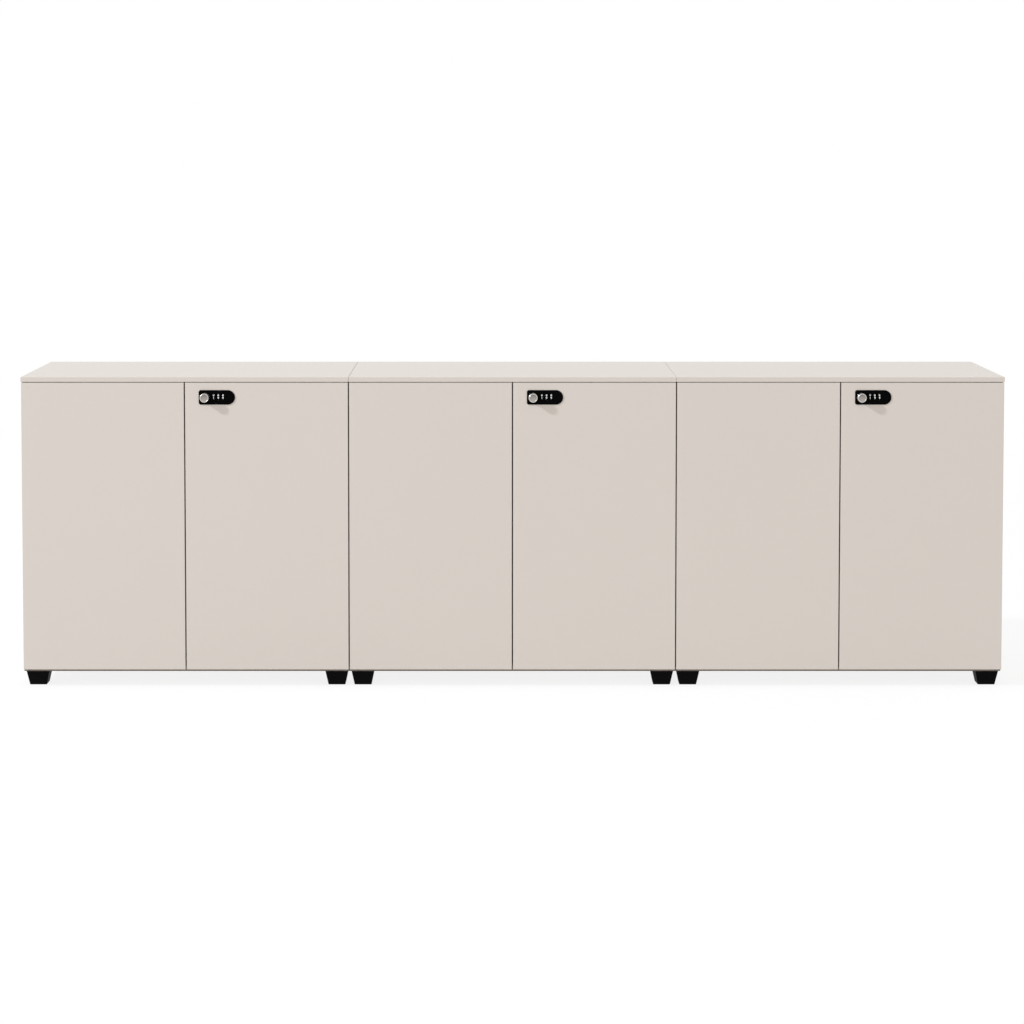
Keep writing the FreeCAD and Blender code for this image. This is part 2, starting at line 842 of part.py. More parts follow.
def lock_cam(name, unit):
    """The double-armed cam: at rest its long arm hangs down and its short arm points left."""
    half = "cam_arm_width / 2"
    hub = rod(
        name + "_hub",
        unit,
        "spindle_line",
        "cam_front",
        "lock_height",
        "cam_hub_radius",
        "cam_thickness",
        along="y",
    )
    arms = [hub]
    for arm, reach, down in (("long", "cam_long_reach", True), ("short", "cam_short_reach", False)):
        length = f"{reach} - {half}"
        arms.append(
            block(
                f"{name}_{arm}_arm",
                unit,
                f"spindle_line - {half}" if down else f"spindle_line - ({length})",
                "cam_front",
                f"lock_height - ({length})" if down else f"lock_height - {half}",
                "cam_arm_width" if down else length,
                "cam_thickness",
                length if down else "cam_arm_width",
            )
        )
        arms.append(
            rod(
                f"{name}_{arm}_tip",
                unit,
                "spindle_line" if down else f"spindle_line - ({length})",
                "cam_front",
                f"lock_height - ({length})" if down else "lock_height",
                half,
                "cam_thickness",
                along="y",
            )
        )
    seat = rod(
        name + "_seat",
        unit,
        "spindle_line",
        "cam_front",
        "lock_height",
        "spindle_neck",
        "cam_thickness",
        along="y",
    )
    return cut(name, fuse(name + "_blank", arms), seat)


def lock_dial(name, unit, number):
    """A dial on the axle, with a groove for the fingertip between each two figures."""
    start = f"spindle_line + dial_offset + {number} * dial_pitch - dial_width / 2"
    body = new_body(name, unit, start, "dial_depth", "lock_height")
    ring = new_sketch(body, name + "_ring", "YZ_Plane")
    circle(ring, "0", "0", "dial_radius")
    circle(ring, "0", "0", "axle_radius + pivot_clearance")
    pad(body, ring, "dial_width")
    groove = new_sketch(body, name + "_groove", "YZ_Plane")
    circle(groove, "dial_radius", "0", "dial_groove")
    first = pocket(body, groove, along_normal=True)
    around = body.newObject("PartDesign::PolarPattern", name + "_grooves")
    around.Originals = [first]
    around.Axis = (groove, ["N_Axis"])
    around.Angle = 360
    around.Occurrences = FIGURES_PER_DIAL
    body.Tip = around
    return body


def lock_strike(name, unit):
    """The angle under the front rail whose flange the cam's short arm turns behind."""
    left = "spindle_line - strike_width / 2"
    leg = block(
        name + "_leg",
        unit,
        left,
        "strike_front",
        "rail_underside - strike_thickness",
        "strike_width",
        "strike_leg",
        "strike_thickness",
    )
    flange = block(
        name + "_flange",
        unit,
        left,
        "strike_front",
        "rail_underside - strike_drop",
        "strike_width",
        "strike_thickness",
        "strike_drop",
    )
    return fuse(name, [leg, flange])


def lock_keeper(name, unit):
    """The hook on the left door's back, open downwards, that the cam's long arm turns up into."""
    plates = (
        ("plate", "door_thickness", "keeper_top - keeper_height", "keeper_thickness", "keeper_height"),
        ("web", "door_thickness", "keeper_web", "keeper_depth", "keeper_thickness"),
        ("lip", "lip_front", "keeper_top - keeper_lip", "keeper_thickness", "keeper_lip"),
    )
    return fuse(
        name,
        [
            block(f"{name}_{part}", unit, "keeper_edge", back, up, "keeper_width", depth, height)
            for part, back, up, depth, height in plates
        ],
    )


# ---------------------------------------------------------------- fittings


def foot(name, unit, side, back):
    """A square tapered foot with rounded edges and a hole for its stud."""
    wedge = doc.addObject("Part::Wedge", name + "_taper")
    wedge.Placement = Placement(Vector(), TURNED["y"])
    bind(
        wedge,
        {
            "Xmin": "-foot_top_width / 2",
            "Xmax": "foot_top_width / 2",
            "Zmin": "-foot_top_width / 2",
            "Zmax": "foot_top_width / 2",
            "X2min": "-foot_base_width / 2",
            "X2max": "foot_base_width / 2",
            "Z2min": "-foot_base_width / 2",
            "Z2max": "foot_base_width / 2",
            "Ymin": "0",
            "Ymax": "foot_height",
        },
    )
    across = from_side(side, "foot_offset")
    put(wedge, unit, across, back, "foot_height")
    top = sizes.get("foot_height")
    soft = rounded(
        name + "_rounding",
        wedge,
        "foot_round",
        lambda edge: min(vertex.Z for vertex in edge.Vertexes) < top - TOLERANCE,
    )
    hole = rod(
        name + "_hole",
        unit,
        across,
        back,
        "foot_height - stud_drop - stud_clearance",
        "stud_radius + stud_clearance",
        "stud_drop + stud_clearance",
    )
    return cut(name, soft, hole)


def foot_stud(name, unit, side, back):
    """The stud that screws a foot to the bottom panel."""
    up = "foot_height - stud_drop"
    return rod(name, unit, from_side(side, "foot_offset"), back, up, "stud_radius", "stud_length")


def shelf_peg(name, unit, side, back):
    """A shelf peg with the collar that stops it at the side's face."""
    inner = from_side(side, "board_thickness - peg_bite", "peg_bite + peg_reach")
    shank = rod(
        name + "_shank",
        unit,
        inner,
        back,
        "peg_height",
        "peg_radius",
        "peg_bite + peg_reach",
        along="x",
    )
    collar = rod(
        name + "_collar",
        unit,
        from_side(side, "board_thickness", "peg_collar_thickness"),
        back,
        "peg_height",
        "peg_collar_radius",
        "peg_collar_thickness",
        along="x",
    )
    return fuse(name, [shank, collar])


def joining_bolt(name, unit, back, up):
    """A bolt and sleeve through two neighbouring sides, at the right of a cupboard."""
    grip = "2 * board_thickness"
    shank = rod(
        name + "_shank",
        unit,
        "unit_pitch - board_thickness",
        back,
        up,
        "bolt_radius",
        grip,
        along="x",
    )
    heads = [
        rod(
            f"{name}_{end}_head",
            unit,
            across,
            back,
            up,
            "bolt_head_radius",
            "bolt_head_thickness",
            along="x",
        )
        for end, across in (
            ("left", "unit_pitch - board_thickness - bolt_head_thickness"),
            ("right", "unit_pitch + board_thickness"),
        )
    ]
    return fuse(name, [shank, *heads])


def door_buffer(name, unit, side, up):
    """A soft round buffer on the carcass, behind a door's free edge."""
    across = "left_free_edge - buffer_inset" if side == "left" else "right_free_edge + buffer_inset"
    thickness = "door_back_gap - buffer_clearance"
    back = f"carcass_front - ({thickness})"
    return rod(name, unit, across, back, up, "buffer_radius", thickness, along="y")


# ---------------------------------------------------------------- the row

FOOT_ROWS = {"front": "carcass_front + foot_offset", "rear": "top_depth - foot_offset"}
PEG_ROWS = {"front": "front_row", "rear": "rear_row"}
BUFFER_HEIGHTS = {
    "lower": "foot_height + buffer_height",
    "upper": "top_underside - buffer_drop",
}
BOLT_ROWS = {
    "front_lower": ("carcass_front + bolt_inset", "foot_height + bolt_inset"),
    "front_upper": ("carcass_front + bolt_inset", "top_underside - bolt_inset"),
    "rear_lower": ("top_depth - bolt_inset", "foot_height + bolt_inset"),
    "rear_upper": ("top_depth - bolt_inset", "top_underside - bolt_inset"),
}

shared = {
    name: []
    for name in (
        "feet",
        "foot_studs",
        "shelf_pegs",
        "joining_bolts",
        "top_rails",
        "door_buffers",
        "lower_pivots",
        "upper_pivots",
        "lock_strikes",
    )
}


def cupboard(unit):
    """Every sub-part of one cupboard, and its share of the fittings that are grouped for the row."""
    name = f"unit{unit + 1}"
    keep(f"{name}_top_panel", top_panel(f"{name}_top_panel", unit))
    keep(f"{name}_bottom_panel", bottom_panel(f"{name}_bottom_panel", unit))
    keep(f"{name}_back_panel", back_panel(f"{name}_back_panel", unit))
    keep(f"{name}_shelf", shelf(f"{name}_shelf", unit))
    shared["top_rails"] += top_rails(unit)
    for side in ("left", "right"):
        panel = f"{name}_{side}_side"
        keep(panel, side_panel(panel, unit, side))
        leaf = f"{name}_{side}_door"
        hung = keep(leaf, door(leaf, unit, side))
        if side == "right":
            lock_cutout(hung)
        keep(f"{leaf}_leaves", pivot_leaves(f"{leaf}_leaves", unit, side))
        shared["lower_pivots"].append(lower_pivot(f"{leaf}_lower_pivot", unit, side))
        shared["upper_pivots"].append(upper_pivot(f"{leaf}_upper_pivot", unit, side))
        for row, back in FOOT_ROWS.items():
            label = f"{name}_{side}_{row}"
            shared["feet"].append(foot(f"{label}_foot", unit, side, back))
            shared["foot_studs"].append(foot_stud(f"{label}_stud", unit, side, back))
        for row, back in PEG_ROWS.items():
            shared["shelf_pegs"].append(shelf_peg(f"{name}_{side}_{row}_peg", unit, side, back))
        for level, up in BUFFER_HEIGHTS.items():
            shared["door_buffers"].append(
                door_buffer(f"{name}_{side}_{level}_buffer", unit, side, up)
            )
    keep(f"{name}_lock_housing", lock_housing(f"{name}_lock_housing", unit))
    keep(f"{name}_lock_knob", lock_knob(f"{name}_lock_knob", unit))
    keep(f"{name}_lock_cam", lock_cam(f"{name}_lock_cam", unit))
    for number in range(DIALS):
        dial = f"{name}_lock_dial_{number + 1}"
        keep(dial, lock_dial(dial, unit, number))
    keep(f"{name}_lock_keeper", lock_keeper(f"{name}_lock_keeper", unit))
    shared["lock_strikes"].append(lock_strike(f"{name}_strike", unit))
    if unit < UNITS - 1:
        shared["joining_bolts"] += [
            joining_bolt(f"{name}_{row}_bolt", unit, back, up)
            for row, (back, up) in BOLT_ROWS.items()
        ]


def check_and_export():
    """Refuse a failed object or a bad shape, then write one STEP file for each sub-part."""
    for thing in doc.Objects:
        if {"Invalid", "Error"} & set(thing.State):
            raise RuntimeError(f"{thing.Label} failed: {thing.State}")
    for thing in nodes:
        if thing.Shape.isNull() or not thing.Shape.Solids or not thing.Shape.isValid():
            raise RuntimeError(f"{thing.Label} has no valid shape")
    os.makedirs("parts", exist_ok=True)
    for thing in nodes:
        thing.Shape.exportStep(f"parts/{thing.Label}.step")


for unit in range(UNITS):
    cupboard(unit)
for name, pieces in shared.items():
    keep(name, group(name, pieces))
doc.recompute()
check_and_export()
print(f"{len(nodes)} sub-parts written")
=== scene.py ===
"""Looks of the office credenza: three bolted cupboards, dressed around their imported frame.

Lengths in the row frame and in the finishes are metres. In the row frame, +X runs along the row,
+Y from the doors to the back, and +Z up. Sizes of fittings are written in millimetres, and MM
turns them into metres where they are drawn or placed.
"""

import logging
import math
from collections.abc import Iterable, Sequence
from dataclasses import dataclass, field, replace
from enum import Enum
from functools import cache, cached_property

import bmesh
import bpy
from mathutils import Matrix, Vector


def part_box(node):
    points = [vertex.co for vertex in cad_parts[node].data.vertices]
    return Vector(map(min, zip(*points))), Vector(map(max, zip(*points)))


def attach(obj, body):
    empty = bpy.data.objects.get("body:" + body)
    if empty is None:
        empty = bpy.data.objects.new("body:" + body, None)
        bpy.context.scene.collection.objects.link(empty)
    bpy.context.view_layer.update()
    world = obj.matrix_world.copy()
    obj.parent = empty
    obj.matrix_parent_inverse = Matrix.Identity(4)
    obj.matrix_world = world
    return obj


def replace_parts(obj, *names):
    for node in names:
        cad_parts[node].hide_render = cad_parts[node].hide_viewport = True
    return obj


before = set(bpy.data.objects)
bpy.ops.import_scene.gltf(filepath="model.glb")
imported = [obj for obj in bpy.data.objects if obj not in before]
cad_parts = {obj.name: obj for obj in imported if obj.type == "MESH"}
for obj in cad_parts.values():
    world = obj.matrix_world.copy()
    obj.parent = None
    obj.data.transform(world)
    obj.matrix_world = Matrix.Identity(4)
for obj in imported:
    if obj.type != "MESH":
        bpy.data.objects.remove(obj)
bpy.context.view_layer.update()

LOG = logging.getLogger("credenza")

MM = 0.001
UNITS = 3
DIALS = 3

# Two points of a draft, in millimetres, are one point if they lie nearer than this.
NEAR = 0.0005

# The smallest radius, in millimetres, that a rounded corner keeps when its outline is drawn in.
SMALLEST_BEND = 0.02

Color = tuple[float, float, float]
Triple = tuple[float, float, float]
Point = tuple[float, float]
Ring = list[bmesh.types.BMVert]
Socket = bpy.types.NodeSocket


class Axis(Enum):
    """A board's thin direction."""

    X = (1.0, 0.0, 0.0)
    Y = (0.0, 1.0, 0.0)
    Z = (0.0, 0.0, 1.0)


class Facing(Enum):
    """Which way a fitting looks, as its turn from the drawn pose, which looks along -Y."""

    FRONT = (0.0, "X")
    BACK = (180.0, "Z")
    UP = (-90.0, "X")
    DOWN = (90.0, "X")
    RIGHT = (90.0, "Z")
    LEFT = (-90.0, "Z")

    def at(self, point: Iterable[float]) -> Matrix:
        """Place a fitting.

        Args:
            point: where its seat lies, in metres.

        Returns:
            The matrix that turns and moves the drawn fitting there.
        """
        angle, axis = self.value
        turn = Matrix.Rotation(math.radians(angle), 4, axis)
        return Matrix.Translation(Vector(point)) @ turn


class Slot(Enum):
    """The names of the record's material slots."""

    BOARD = "board"
    LOCK = "lock_black"
    CHROME = "knob_chrome"
    STEEL = "zinc_steel"
    BUFFER = "clear_buffer"


# ---------------------------------------------------------------- node trees


# Patches of slightly different tone along a metre of any moulded or pressed surface.
PATCHES_PER_METRE = 2.3

# A surface looks a certain way if its normal's share along that way is greater than this.
FACING = 0.7


class Wiring:
    """Short ways to add and join the nodes of one tree."""

    def __init__(self, tree: bpy.types.NodeTree) -> None:
        """Work on a tree.

        Args:
            tree: the node tree of a material, a world or an effect.
        """
        self.tree = tree

    def connect(self, value: object, socket: Socket) -> None:
        """Link a socket to an input, or set the input to a plain value.

        Args:
            value: another node's output, or the value itself.
            socket: the input.
        """
        if isinstance(value, bpy.types.NodeSocket):
            self.tree.links.new(value, socket)
        else:
            socket.default_value = value

    def add(
        self, kind: str, inputs: dict[str | int, object] | None = None, **settings: object
    ) -> bpy.types.Node:
        """Add a node.

        Args:
            kind: the node's type, without the ShaderNode in front.
            inputs: values or sockets for its inputs, by name or number.
            settings: properties of the node itself.

        Returns:
            The new node.
        """
        node = self.tree.nodes.new("ShaderNode" + kind)
        for name, value in settings.items():
            setattr(node, name, value)
        for name, value in (inputs or {}).items():
            self.connect(value, node.inputs[name])
        return node

    def use(self, effect: bpy.types.NodeTree, **inputs: object) -> bpy.types.NodeInputs:
        """Place a shared effect.

        Args:
            effect: the effect's node group.
            inputs: its inputs, with underscores for the spaces in their names.

        Returns:
            The outputs of the placed effect.
        """
        named = {name.replace("_", " "): value for name, value in inputs.items()}
        return self.add("Group", named, node_tree=effect).outputs

    def calc(self, operation: str, *values: object, clamp: bool = False) -> Socket:
        """Add a Math node and return its result.

        Args:
            operation: the node's operation.
            values: its inputs in order.
            clamp: whether the result stays from 0 to 1.

        Returns:
            The result's socket.
        """
        node = self.add("Math", dict(enumerate(values)), operation=operation, use_clamp=clamp)
        return node.outputs[0]

    def vector(self, operation: str, *values: object) -> Socket:
        """Add a Vector Math node and return its result.

        Args:
            operation: the node's operation.
            values: its inputs in order.

        Returns:
            The result's socket, which is the number for a dot product or a length.
        """
        node = self.add("VectorMath", dict(enumerate(values)), operation=operation)
        return node.outputs["Value" if operation in ("DOT_PRODUCT", "LENGTH") else "Vector"]

    def scaled(self, color: object, amount: Socket) -> Socket:
        """Make a colour lighter or darker.

        Args:
            color: the colour.
            amount: what its three numbers are multiplied by.

        Returns:
            The new colour's socket.
        """
        return self.add("VectorMath", {0: color, "Scale": amount}, operation="SCALE").outputs[0]

    def blend(self, share: object, first: object, second: object) -> Socket:
        """Mix two colours.

        Args:
            share: how much of the second colour there is, from 0 to 1.
            first: the first colour.
            second: the second colour.

        Returns:
            The mixed colour's socket.
        """
        inputs = {0: share, 6: self.opaque(first), 7: self.opaque(second)}
        return self.add("Mix", inputs, data_type="RGBA").outputs[2]

    @staticmethod
    def opaque(color: object) -> object:
        """Add the fourth number to a plain colour, and leave a socket as it is."""
        return color if isinstance(color, bpy.types.NodeSocket) else (*color, 1.0)


class Effect(Wiring):
    """A shared effect as a shader node group."""

    def __init__(
        self, name: str, inputs: dict[str, float | Triple], outputs: dict[str, str]
    ) -> None:
        """Make the empty group with its sockets.

        Args:
            name: the group's name.
            inputs: each input's name and its usual value.
            outputs: each output's name and its kind, Float, Vector or Color.
        """
        tree = bpy.data.node_groups.new(name, "ShaderNodeTree")
        super().__init__(tree)
        for label, value in inputs.items():
            kind = "NodeSocketVector" if isinstance(value, tuple) else "NodeSocketFloat"
            socket = tree.interface.new_socket(name=label, in_out="INPUT", socket_type=kind)
            socket.default_value = value
        for label, kind in outputs.items():
            tree.interface.new_socket(
                name=label, in_out="OUTPUT", socket_type="NodeSocket" + kind
            )
        self.given = tree.nodes.new("NodeGroupInput").outputs
        self.results = tree.nodes.new("NodeGroupOutput").inputs

    def finish(self, **results: Socket) -> bpy.types.NodeTree:
        """Connect the results to the group's outputs.

        Args:
            results: each output's socket by name.

        Returns:
            The finished group.
        """
        for name, socket in results.items():
            self.connect(socket, self.results[name])
        return self.tree


@cache
def fine_grain() -> bpy.types.NodeTree:
    """Build a pressed or moulded grain with a slow drift of tone over the surface.

    Returns:
        The group, with Tone near 1 and Height from 0 to 1.
    """
    effect = Effect(
        "fine_grain", {"Grain Size": 0.001, "Drift": 0.02}, {"Tone": "Float", "Height": "Float"}
    )
    place = effect.add("TexCoord").outputs["Object"]
    per_metre = effect.calc("DIVIDE", 1.0, effect.given["Grain Size"])
    grain = effect.add("TexNoise", {"Vector": place, "Scale": per_metre, "Detail": 2.0})
    slow = effect.add("TexNoise", {"Vector": place, "Scale": PATCHES_PER_METRE, "Detail": 2.0})
    lean = effect.calc("SUBTRACT", slow.outputs[0], 0.5)
    tone = effect.calc("MULTIPLY_ADD", lean, effect.given["Drift"], 1.0)
    return effect.finish(Tone=tone, Height=grain.outputs[0])


@cache
def soft_edge() -> bpy.types.NodeTree:
    """Build the rounding and the faint wear that every sharp edge of a made thing has.

    Returns:
        The group, with the rounded Normal and Wear, which is 1 on an edge and 0 off it.
    """
    effect = Effect(
        "soft_edge", {"Radius": 0.0005, "Wear Gain": 5.0}, {"Normal": "Vector", "Wear": "Float"}
    )
    rounded = effect.add("Bevel", {"Radius": effect.given["Radius"]}, samples=4).outputs[0]
    flat = effect.add("NewGeometry").outputs["True Normal"]
    lean = effect.calc("SUBTRACT", 1.0, effect.vector("DOT_PRODUCT", rounded, flat))
    wear = effect.calc("MULTIPLY", lean, effect.given["Wear Gain"], clamp=True)
    return effect.finish(Normal=rounded, Wear=wear)


@cache
def board_zones() -> bpy.types.NodeTree:
    """Build the masks that tell a board's faces, its edge band and its cut core apart.

    Returns:
        The group. Core is 1 inside grooves, holes and cut-outs, Band on the banded edges, Front on
        the one of them that faces forward, which the carcass boards darken as painted shade, and
        Seam on the line where a band meets the face.
    """
    effect = Effect(
        "board_zones",
        {
            "Size": (1.0, 1.0, 1.0),
            "Thin": (0.0, 1.0, 0.0),
            "Band Width": 0.0015,
            "Seam Width": 0.0003,
            "Skin": 0.0006,
        },
        {"Core": "Float", "Band": "Float", "Front": "Float", "Seam": "Float"},
    )
    place = effect.add("TexCoord")
    near = place.outputs["Generated"]
    far = effect.vector("SUBTRACT", (1.0, 1.0, 1.0), near)
    depth = effect.vector("MULTIPLY", effect.vector("MINIMUM", near, far), effect.given["Size"])
    core = effect.calc("GREATER_THAN", smallest(effect, depth), effect.given["Skin"])
    outside = effect.calc("SUBTRACT", 1.0, core)
    facing = effect.vector("DOT_PRODUCT", place.outputs["Normal"], effect.given["Thin"])
    broad = effect.calc("GREATER_THAN", effect.calc("ABSOLUTE", facing), FACING)
    narrow = effect.calc("SUBTRACT", 1.0, broad)
    in_plane = smallest(effect, effect.vector("ADD", depth, effect.given["Thin"]))
    off_seam = effect.calc("SUBTRACT", in_plane, effect.given["Band Width"])
    half_seam = effect.calc("DIVIDE", effect.given["Seam Width"], 2.0)
    on_seam = effect.calc("LESS_THAN", effect.calc("ABSOLUTE", off_seam), half_seam)
    band = effect.calc("MULTIPLY", narrow, outside)
    forward = effect.vector("DOT_PRODUCT", place.outputs["Normal"], (0.0, -1.0, 0.0))
    return effect.finish(
        Core=core,
        Band=band,
        Front=effect.calc("MULTIPLY", effect.calc("GREATER_THAN", forward, FACING), band),
        Seam=effect.calc("MULTIPLY", effect.calc("MULTIPLY", on_seam, broad), outside),
    )


def smallest(wiring: Wiring, vector: Socket) -> Socket:
    """Find the smallest of a vector's three numbers.

    Args:
        wiring: the tree to add the nodes to.
        vector: the vector's socket.

    Returns:
        The number's socket.
    """
    parts = wiring.add("SeparateXYZ", {0: vector}).outputs
    return wiring.calc("MINIMUM", wiring.calc("MINIMUM", parts[0], parts[1]), parts[2])


@cache
def wood_chips() -> bpy.types.NodeTree:
    """Build the pressed chips of a board's core.

    Returns:
        The group, with a Tone for each chip and their Height.
    """
    effect = Effect(
        "wood_chips",
        {"Chip Size": 0.002, "Darkest": 0.75, "Contrast": 0.4},
        {"Tone": "Float", "Height": "Float"},
    )
    place = effect.add("TexCoord").outputs["Object"]
    per_metre = effect.calc("DIVIDE", 1.0, effect.given["Chip Size"])
    chips = effect.add("TexVoronoi", {"Vector": place, "Scale": per_metre})
    shade = effect.add("SeparateXYZ", {0: chips.outputs["Color"]}).outputs[0]
    tone = effect.calc(
        "MULTIPLY_ADD", shade, effect.given["Contrast"], effect.given["Darkest"]
    )
    return effect.finish(Tone=tone, Height=chips.outputs["Distance"])


@cache
def drawn_lines() -> bpy.types.NodeTree:
    """Build the faint lines that rolling or brushing leaves on metal.

    Returns:
        The group, with Tone near 1 and Height from 0 to 1.
    """
    effect = Effect(
        "drawn_lines",
        {"Stretch": (150.0, 1800.0, 1800.0), "Amount": 0.1},
        {"Tone": "Float", "Height": "Float"},
    )
    place = effect.add("TexCoord").outputs["Object"]
    stretched = effect.vector("MULTIPLY", place, effect.given["Stretch"])
    lines = effect.add("TexNoise", {"Vector": stretched, "Scale": 1.0, "Detail": 3.0}).outputs[0]
    lean = effect.calc("SUBTRACT", lines, 0.5)
    tone = effect.calc("MULTIPLY_ADD", lean, effect.given["Amount"], 1.0)
    return effect.finish(Tone=tone, Height=lines)


@cache
def turned_rings() -> bpy.types.NodeTree:
    """Build the fine rings that a lathe leaves around the Y axis of a turned piece.

    Returns:
        The group, with the rings' Height from 0 to 1, and a Tone of painted shade that falls from 1
        plus the shade amount at the piece's lower edge to 1 minus it at its upper one.
    """
    effect = Effect(
        "turned_rings",
        {"Pitch": 0.00025, "Radius": 0.011, "Fade": 0.1},
        {"Height": "Float", "Tone": "Float"},
    )
    parts = effect.add(
        "SeparateXYZ", {0: effect.add("TexCoord").outputs["Object"]}
    ).outputs
    across = effect.calc("MULTIPLY", parts[0], parts[0])
    upwards = effect.calc("MULTIPLY_ADD", parts[2], parts[2], across)
    radius = effect.calc("SQRT", upwards)
    turns = effect.calc("DIVIDE", effect.calc("MULTIPLY", radius, math.tau), effect.given["Pitch"])
    wave = effect.calc("MULTIPLY_ADD", effect.calc("SINE", turns), 0.5, 0.5)
    # Painted shade: the tone falls towards the piece's upper edge and rises towards its lower one.
    down = effect.calc("DIVIDE", parts[2], effect.calc("MULTIPLY", effect.given["Radius"], -1.0))
    tone = effect.calc("MULTIPLY_ADD", down, effect.given["Fade"], 1.0)
    return effect.finish(Height=wave, Tone=tone)


# ---------------------------------------------------------------- finishes


@dataclass(frozen=True)
class Finish:
    """What every finish has: its name, colour, roughness, mirror shine and rounded edges."""

    name: str
    color: Color
    roughness: float
    shine: float = 0.5
    edge_radius: float = 0.0004

    @cache
    def material(self) -> bpy.types.Material:
        """Return the finish's material, which is built the first time."""
        return self.build()

    def build(self) -> bpy.types.Material:
        """Build the material: each finish has its own way."""
        raise NotImplementedError

    def start(self) -> tuple[bpy.types.Material, Wiring, bpy.types.Node]:
        """Make the material with its main shader.

        Returns:
            The material, its wiring and its Principled BSDF.
        """
        material = bpy.data.materials.new(self.name)
        material.use_nodes = True
        wiring = Wiring(material.node_tree)
        shader = material.node_tree.nodes["Principled BSDF"]
        shader.inputs["Base Color"].default_value = (*self.color, 1.0)
        shader.inputs["Roughness"].default_value = self.roughness
        shader.inputs["Specular IOR Level"].default_value = self.shine
        material.diffuse_color = (*self.color, 1.0)
        return material, wiring, shader

    def relief(
        self, wiring: Wiring, shader: bpy.types.Node, height: Socket, depth: float, normal: Socket
    ) -> None:
        """Give the shader a bump.

        Args:
            wiring: the material's wiring.
            shader: the shader that takes the normal.
            height: the bump's height, from 0 to 1.
            depth: the height of 1 in metres.
            normal: the normal that the bump starts from.
        """
        bump = wiring.add("Bump", {"Height": height, "Distance": depth, "Normal": normal})
        wiring.connect(bump.outputs[0], shader.inputs["Normal"])


@dataclass(frozen=True)
class Melamine(Finish):
    """Melamine-faced chipboard with banded edges, for one size of board.

    The tones are shares of the face's colour. The tone of the band that faces forward is painted
    shade on the carcass boards, where it stands in for the shade in the strip under the doors. A
    worn edge is smoother than the face by polish.
    """

    size: Triple = (1.0, 1.0, 1.0)
    thin: Axis = Axis.Y
    band_tone: float = 0.985
    # The forward band's tone: painted shade where the carcass boards darken it.
    front_tone: Color = (0.985, 0.985, 0.985)
    seam_tone: float = 0.8
    core_color: Color = (0.42, 0.29, 0.17)
    core_roughness: float = 0.9
    chip_size: float = 0.0022
    chip_depth: float = 0.0003
    grain_size: float = 0.0009
    grain_depth: float = 0.000012
    drift: float = 0.02
    polish: float = 0.06

    def build(self) -> bpy.types.Material:
        """Build the faces, the bands with their seam, and the bare core where the board is cut.

        Returns:
            The material.
        """
        material, wiring, shader = self.start()
        grain = wiring.use(fine_grain(), Grain_Size=self.grain_size, Drift=self.drift)
        edge = wiring.use(soft_edge(), Radius=self.edge_radius)
        zones = wiring.use(board_zones(), Size=self.size, Thin=self.thin.value)
        chips = wiring.use(wood_chips(), Chip_Size=self.chip_size)

        band = tuple(part * self.band_tone for part in self.color)
        # Painted shade: the band that faces forward takes a darker tone, for the shade under the
        # doors.
        front = tuple(part * tone for part, tone in zip(self.color, self.front_tone))
        seam = tuple(part * self.seam_tone for part in self.color)
        color = wiring.blend(zones["Band"], self.color, band)
        color = wiring.blend(zones["Front"], color, front)
        color = wiring.blend(zones["Seam"], color, seam)
        chip = wiring.scaled(self.core_color, chips["Tone"])
        color = wiring.blend(zones["Core"], wiring.scaled(color, grain["Tone"]), chip)
        wiring.connect(color, shader.inputs["Base Color"])

        worn = wiring.calc("MULTIPLY_ADD", edge["Wear"], -self.polish, self.roughness)
        duller = self.core_roughness - self.roughness
        dull = wiring.calc("MULTIPLY_ADD", zones["Core"], duller, worn)
        wiring.connect(dull, shader.inputs["Roughness"])

        deep = wiring.calc("MULTIPLY", chips["Height"], zones["Core"])
        deeper = self.chip_depth / self.grain_depth
        height = wiring.calc("MULTIPLY_ADD", deep, deeper, grain["Height"])
        self.relief(wiring, shader, height, self.grain_depth, edge["Normal"])
        return material


@dataclass(frozen=True)
class MouldedPlastic(Finish):
    """Moulded plastic with a spark-eroded grain and a slightly paler edge, which is partly wear and
    partly painted highlight.
    """

    grain_size: float = 0.0004
    grain_depth: float = 0.000008
    drift: float = 0.1
    # How much paler the edges are: partly wear, partly painted highlight.
    edge_lift: float = 0.012

    def build(self) -> bpy.types.Material:
        """Build the grained plastic.

        Returns:
            The material.
        """
        material, wiring, shader = self.start()
        grain = wiring.use(fine_grain(), Grain_Size=self.grain_size, Drift=self.drift)
        edge = wiring.use(soft_edge(), Radius=self.edge_radius)
        # Partly painted highlight: the edges are lifted paler, as wear and as the sheen they catch.
        lifted = tuple(part + self.edge_lift for part in self.color)
        color = wiring.blend(edge["Wear"], wiring.scaled(self.color, grain["Tone"]), lifted)
        wiring.connect(color, shader.inputs["Base Color"])
        rough = wiring.calc("MULTIPLY", grain["Tone"], self.roughness)
        wiring.connect(rough, shader.inputs["Roughness"])
        self.relief(wiring, shader, grain["Height"], self.grain_depth, edge["Normal"])
        return material


@dataclass(frozen=True)
class DrawnSteel(Finish):
    """Plated steel with faint rolled lines, or an even grain if stretch is the same each way."""

    stretch: Triple = (150.0, 1800.0, 1800.0)
    amount: float = 0.16
    line_depth: float = 0.000006

    def build(self) -> bpy.types.Material:
        """Build the plated metal.

        Returns:
            The material.
        """
        material, wiring, shader = self.start()
        shader.inputs["Metallic"].default_value = 1.0
        lines = wiring.use(drawn_lines(), Stretch=self.stretch, Amount=self.amount)
        edge = wiring.use(soft_edge(), Radius=self.edge_radius)
        wiring.connect(wiring.scaled(self.color, lines["Tone"]), shader.inputs["Base Color"])
        rough = wiring.calc("MULTIPLY", lines["Tone"], self.roughness)
        wiring.connect(rough, shader.inputs["Roughness"])
        self.relief(wiring, shader, lines["Height"], self.line_depth, edge["Normal"])
        return material


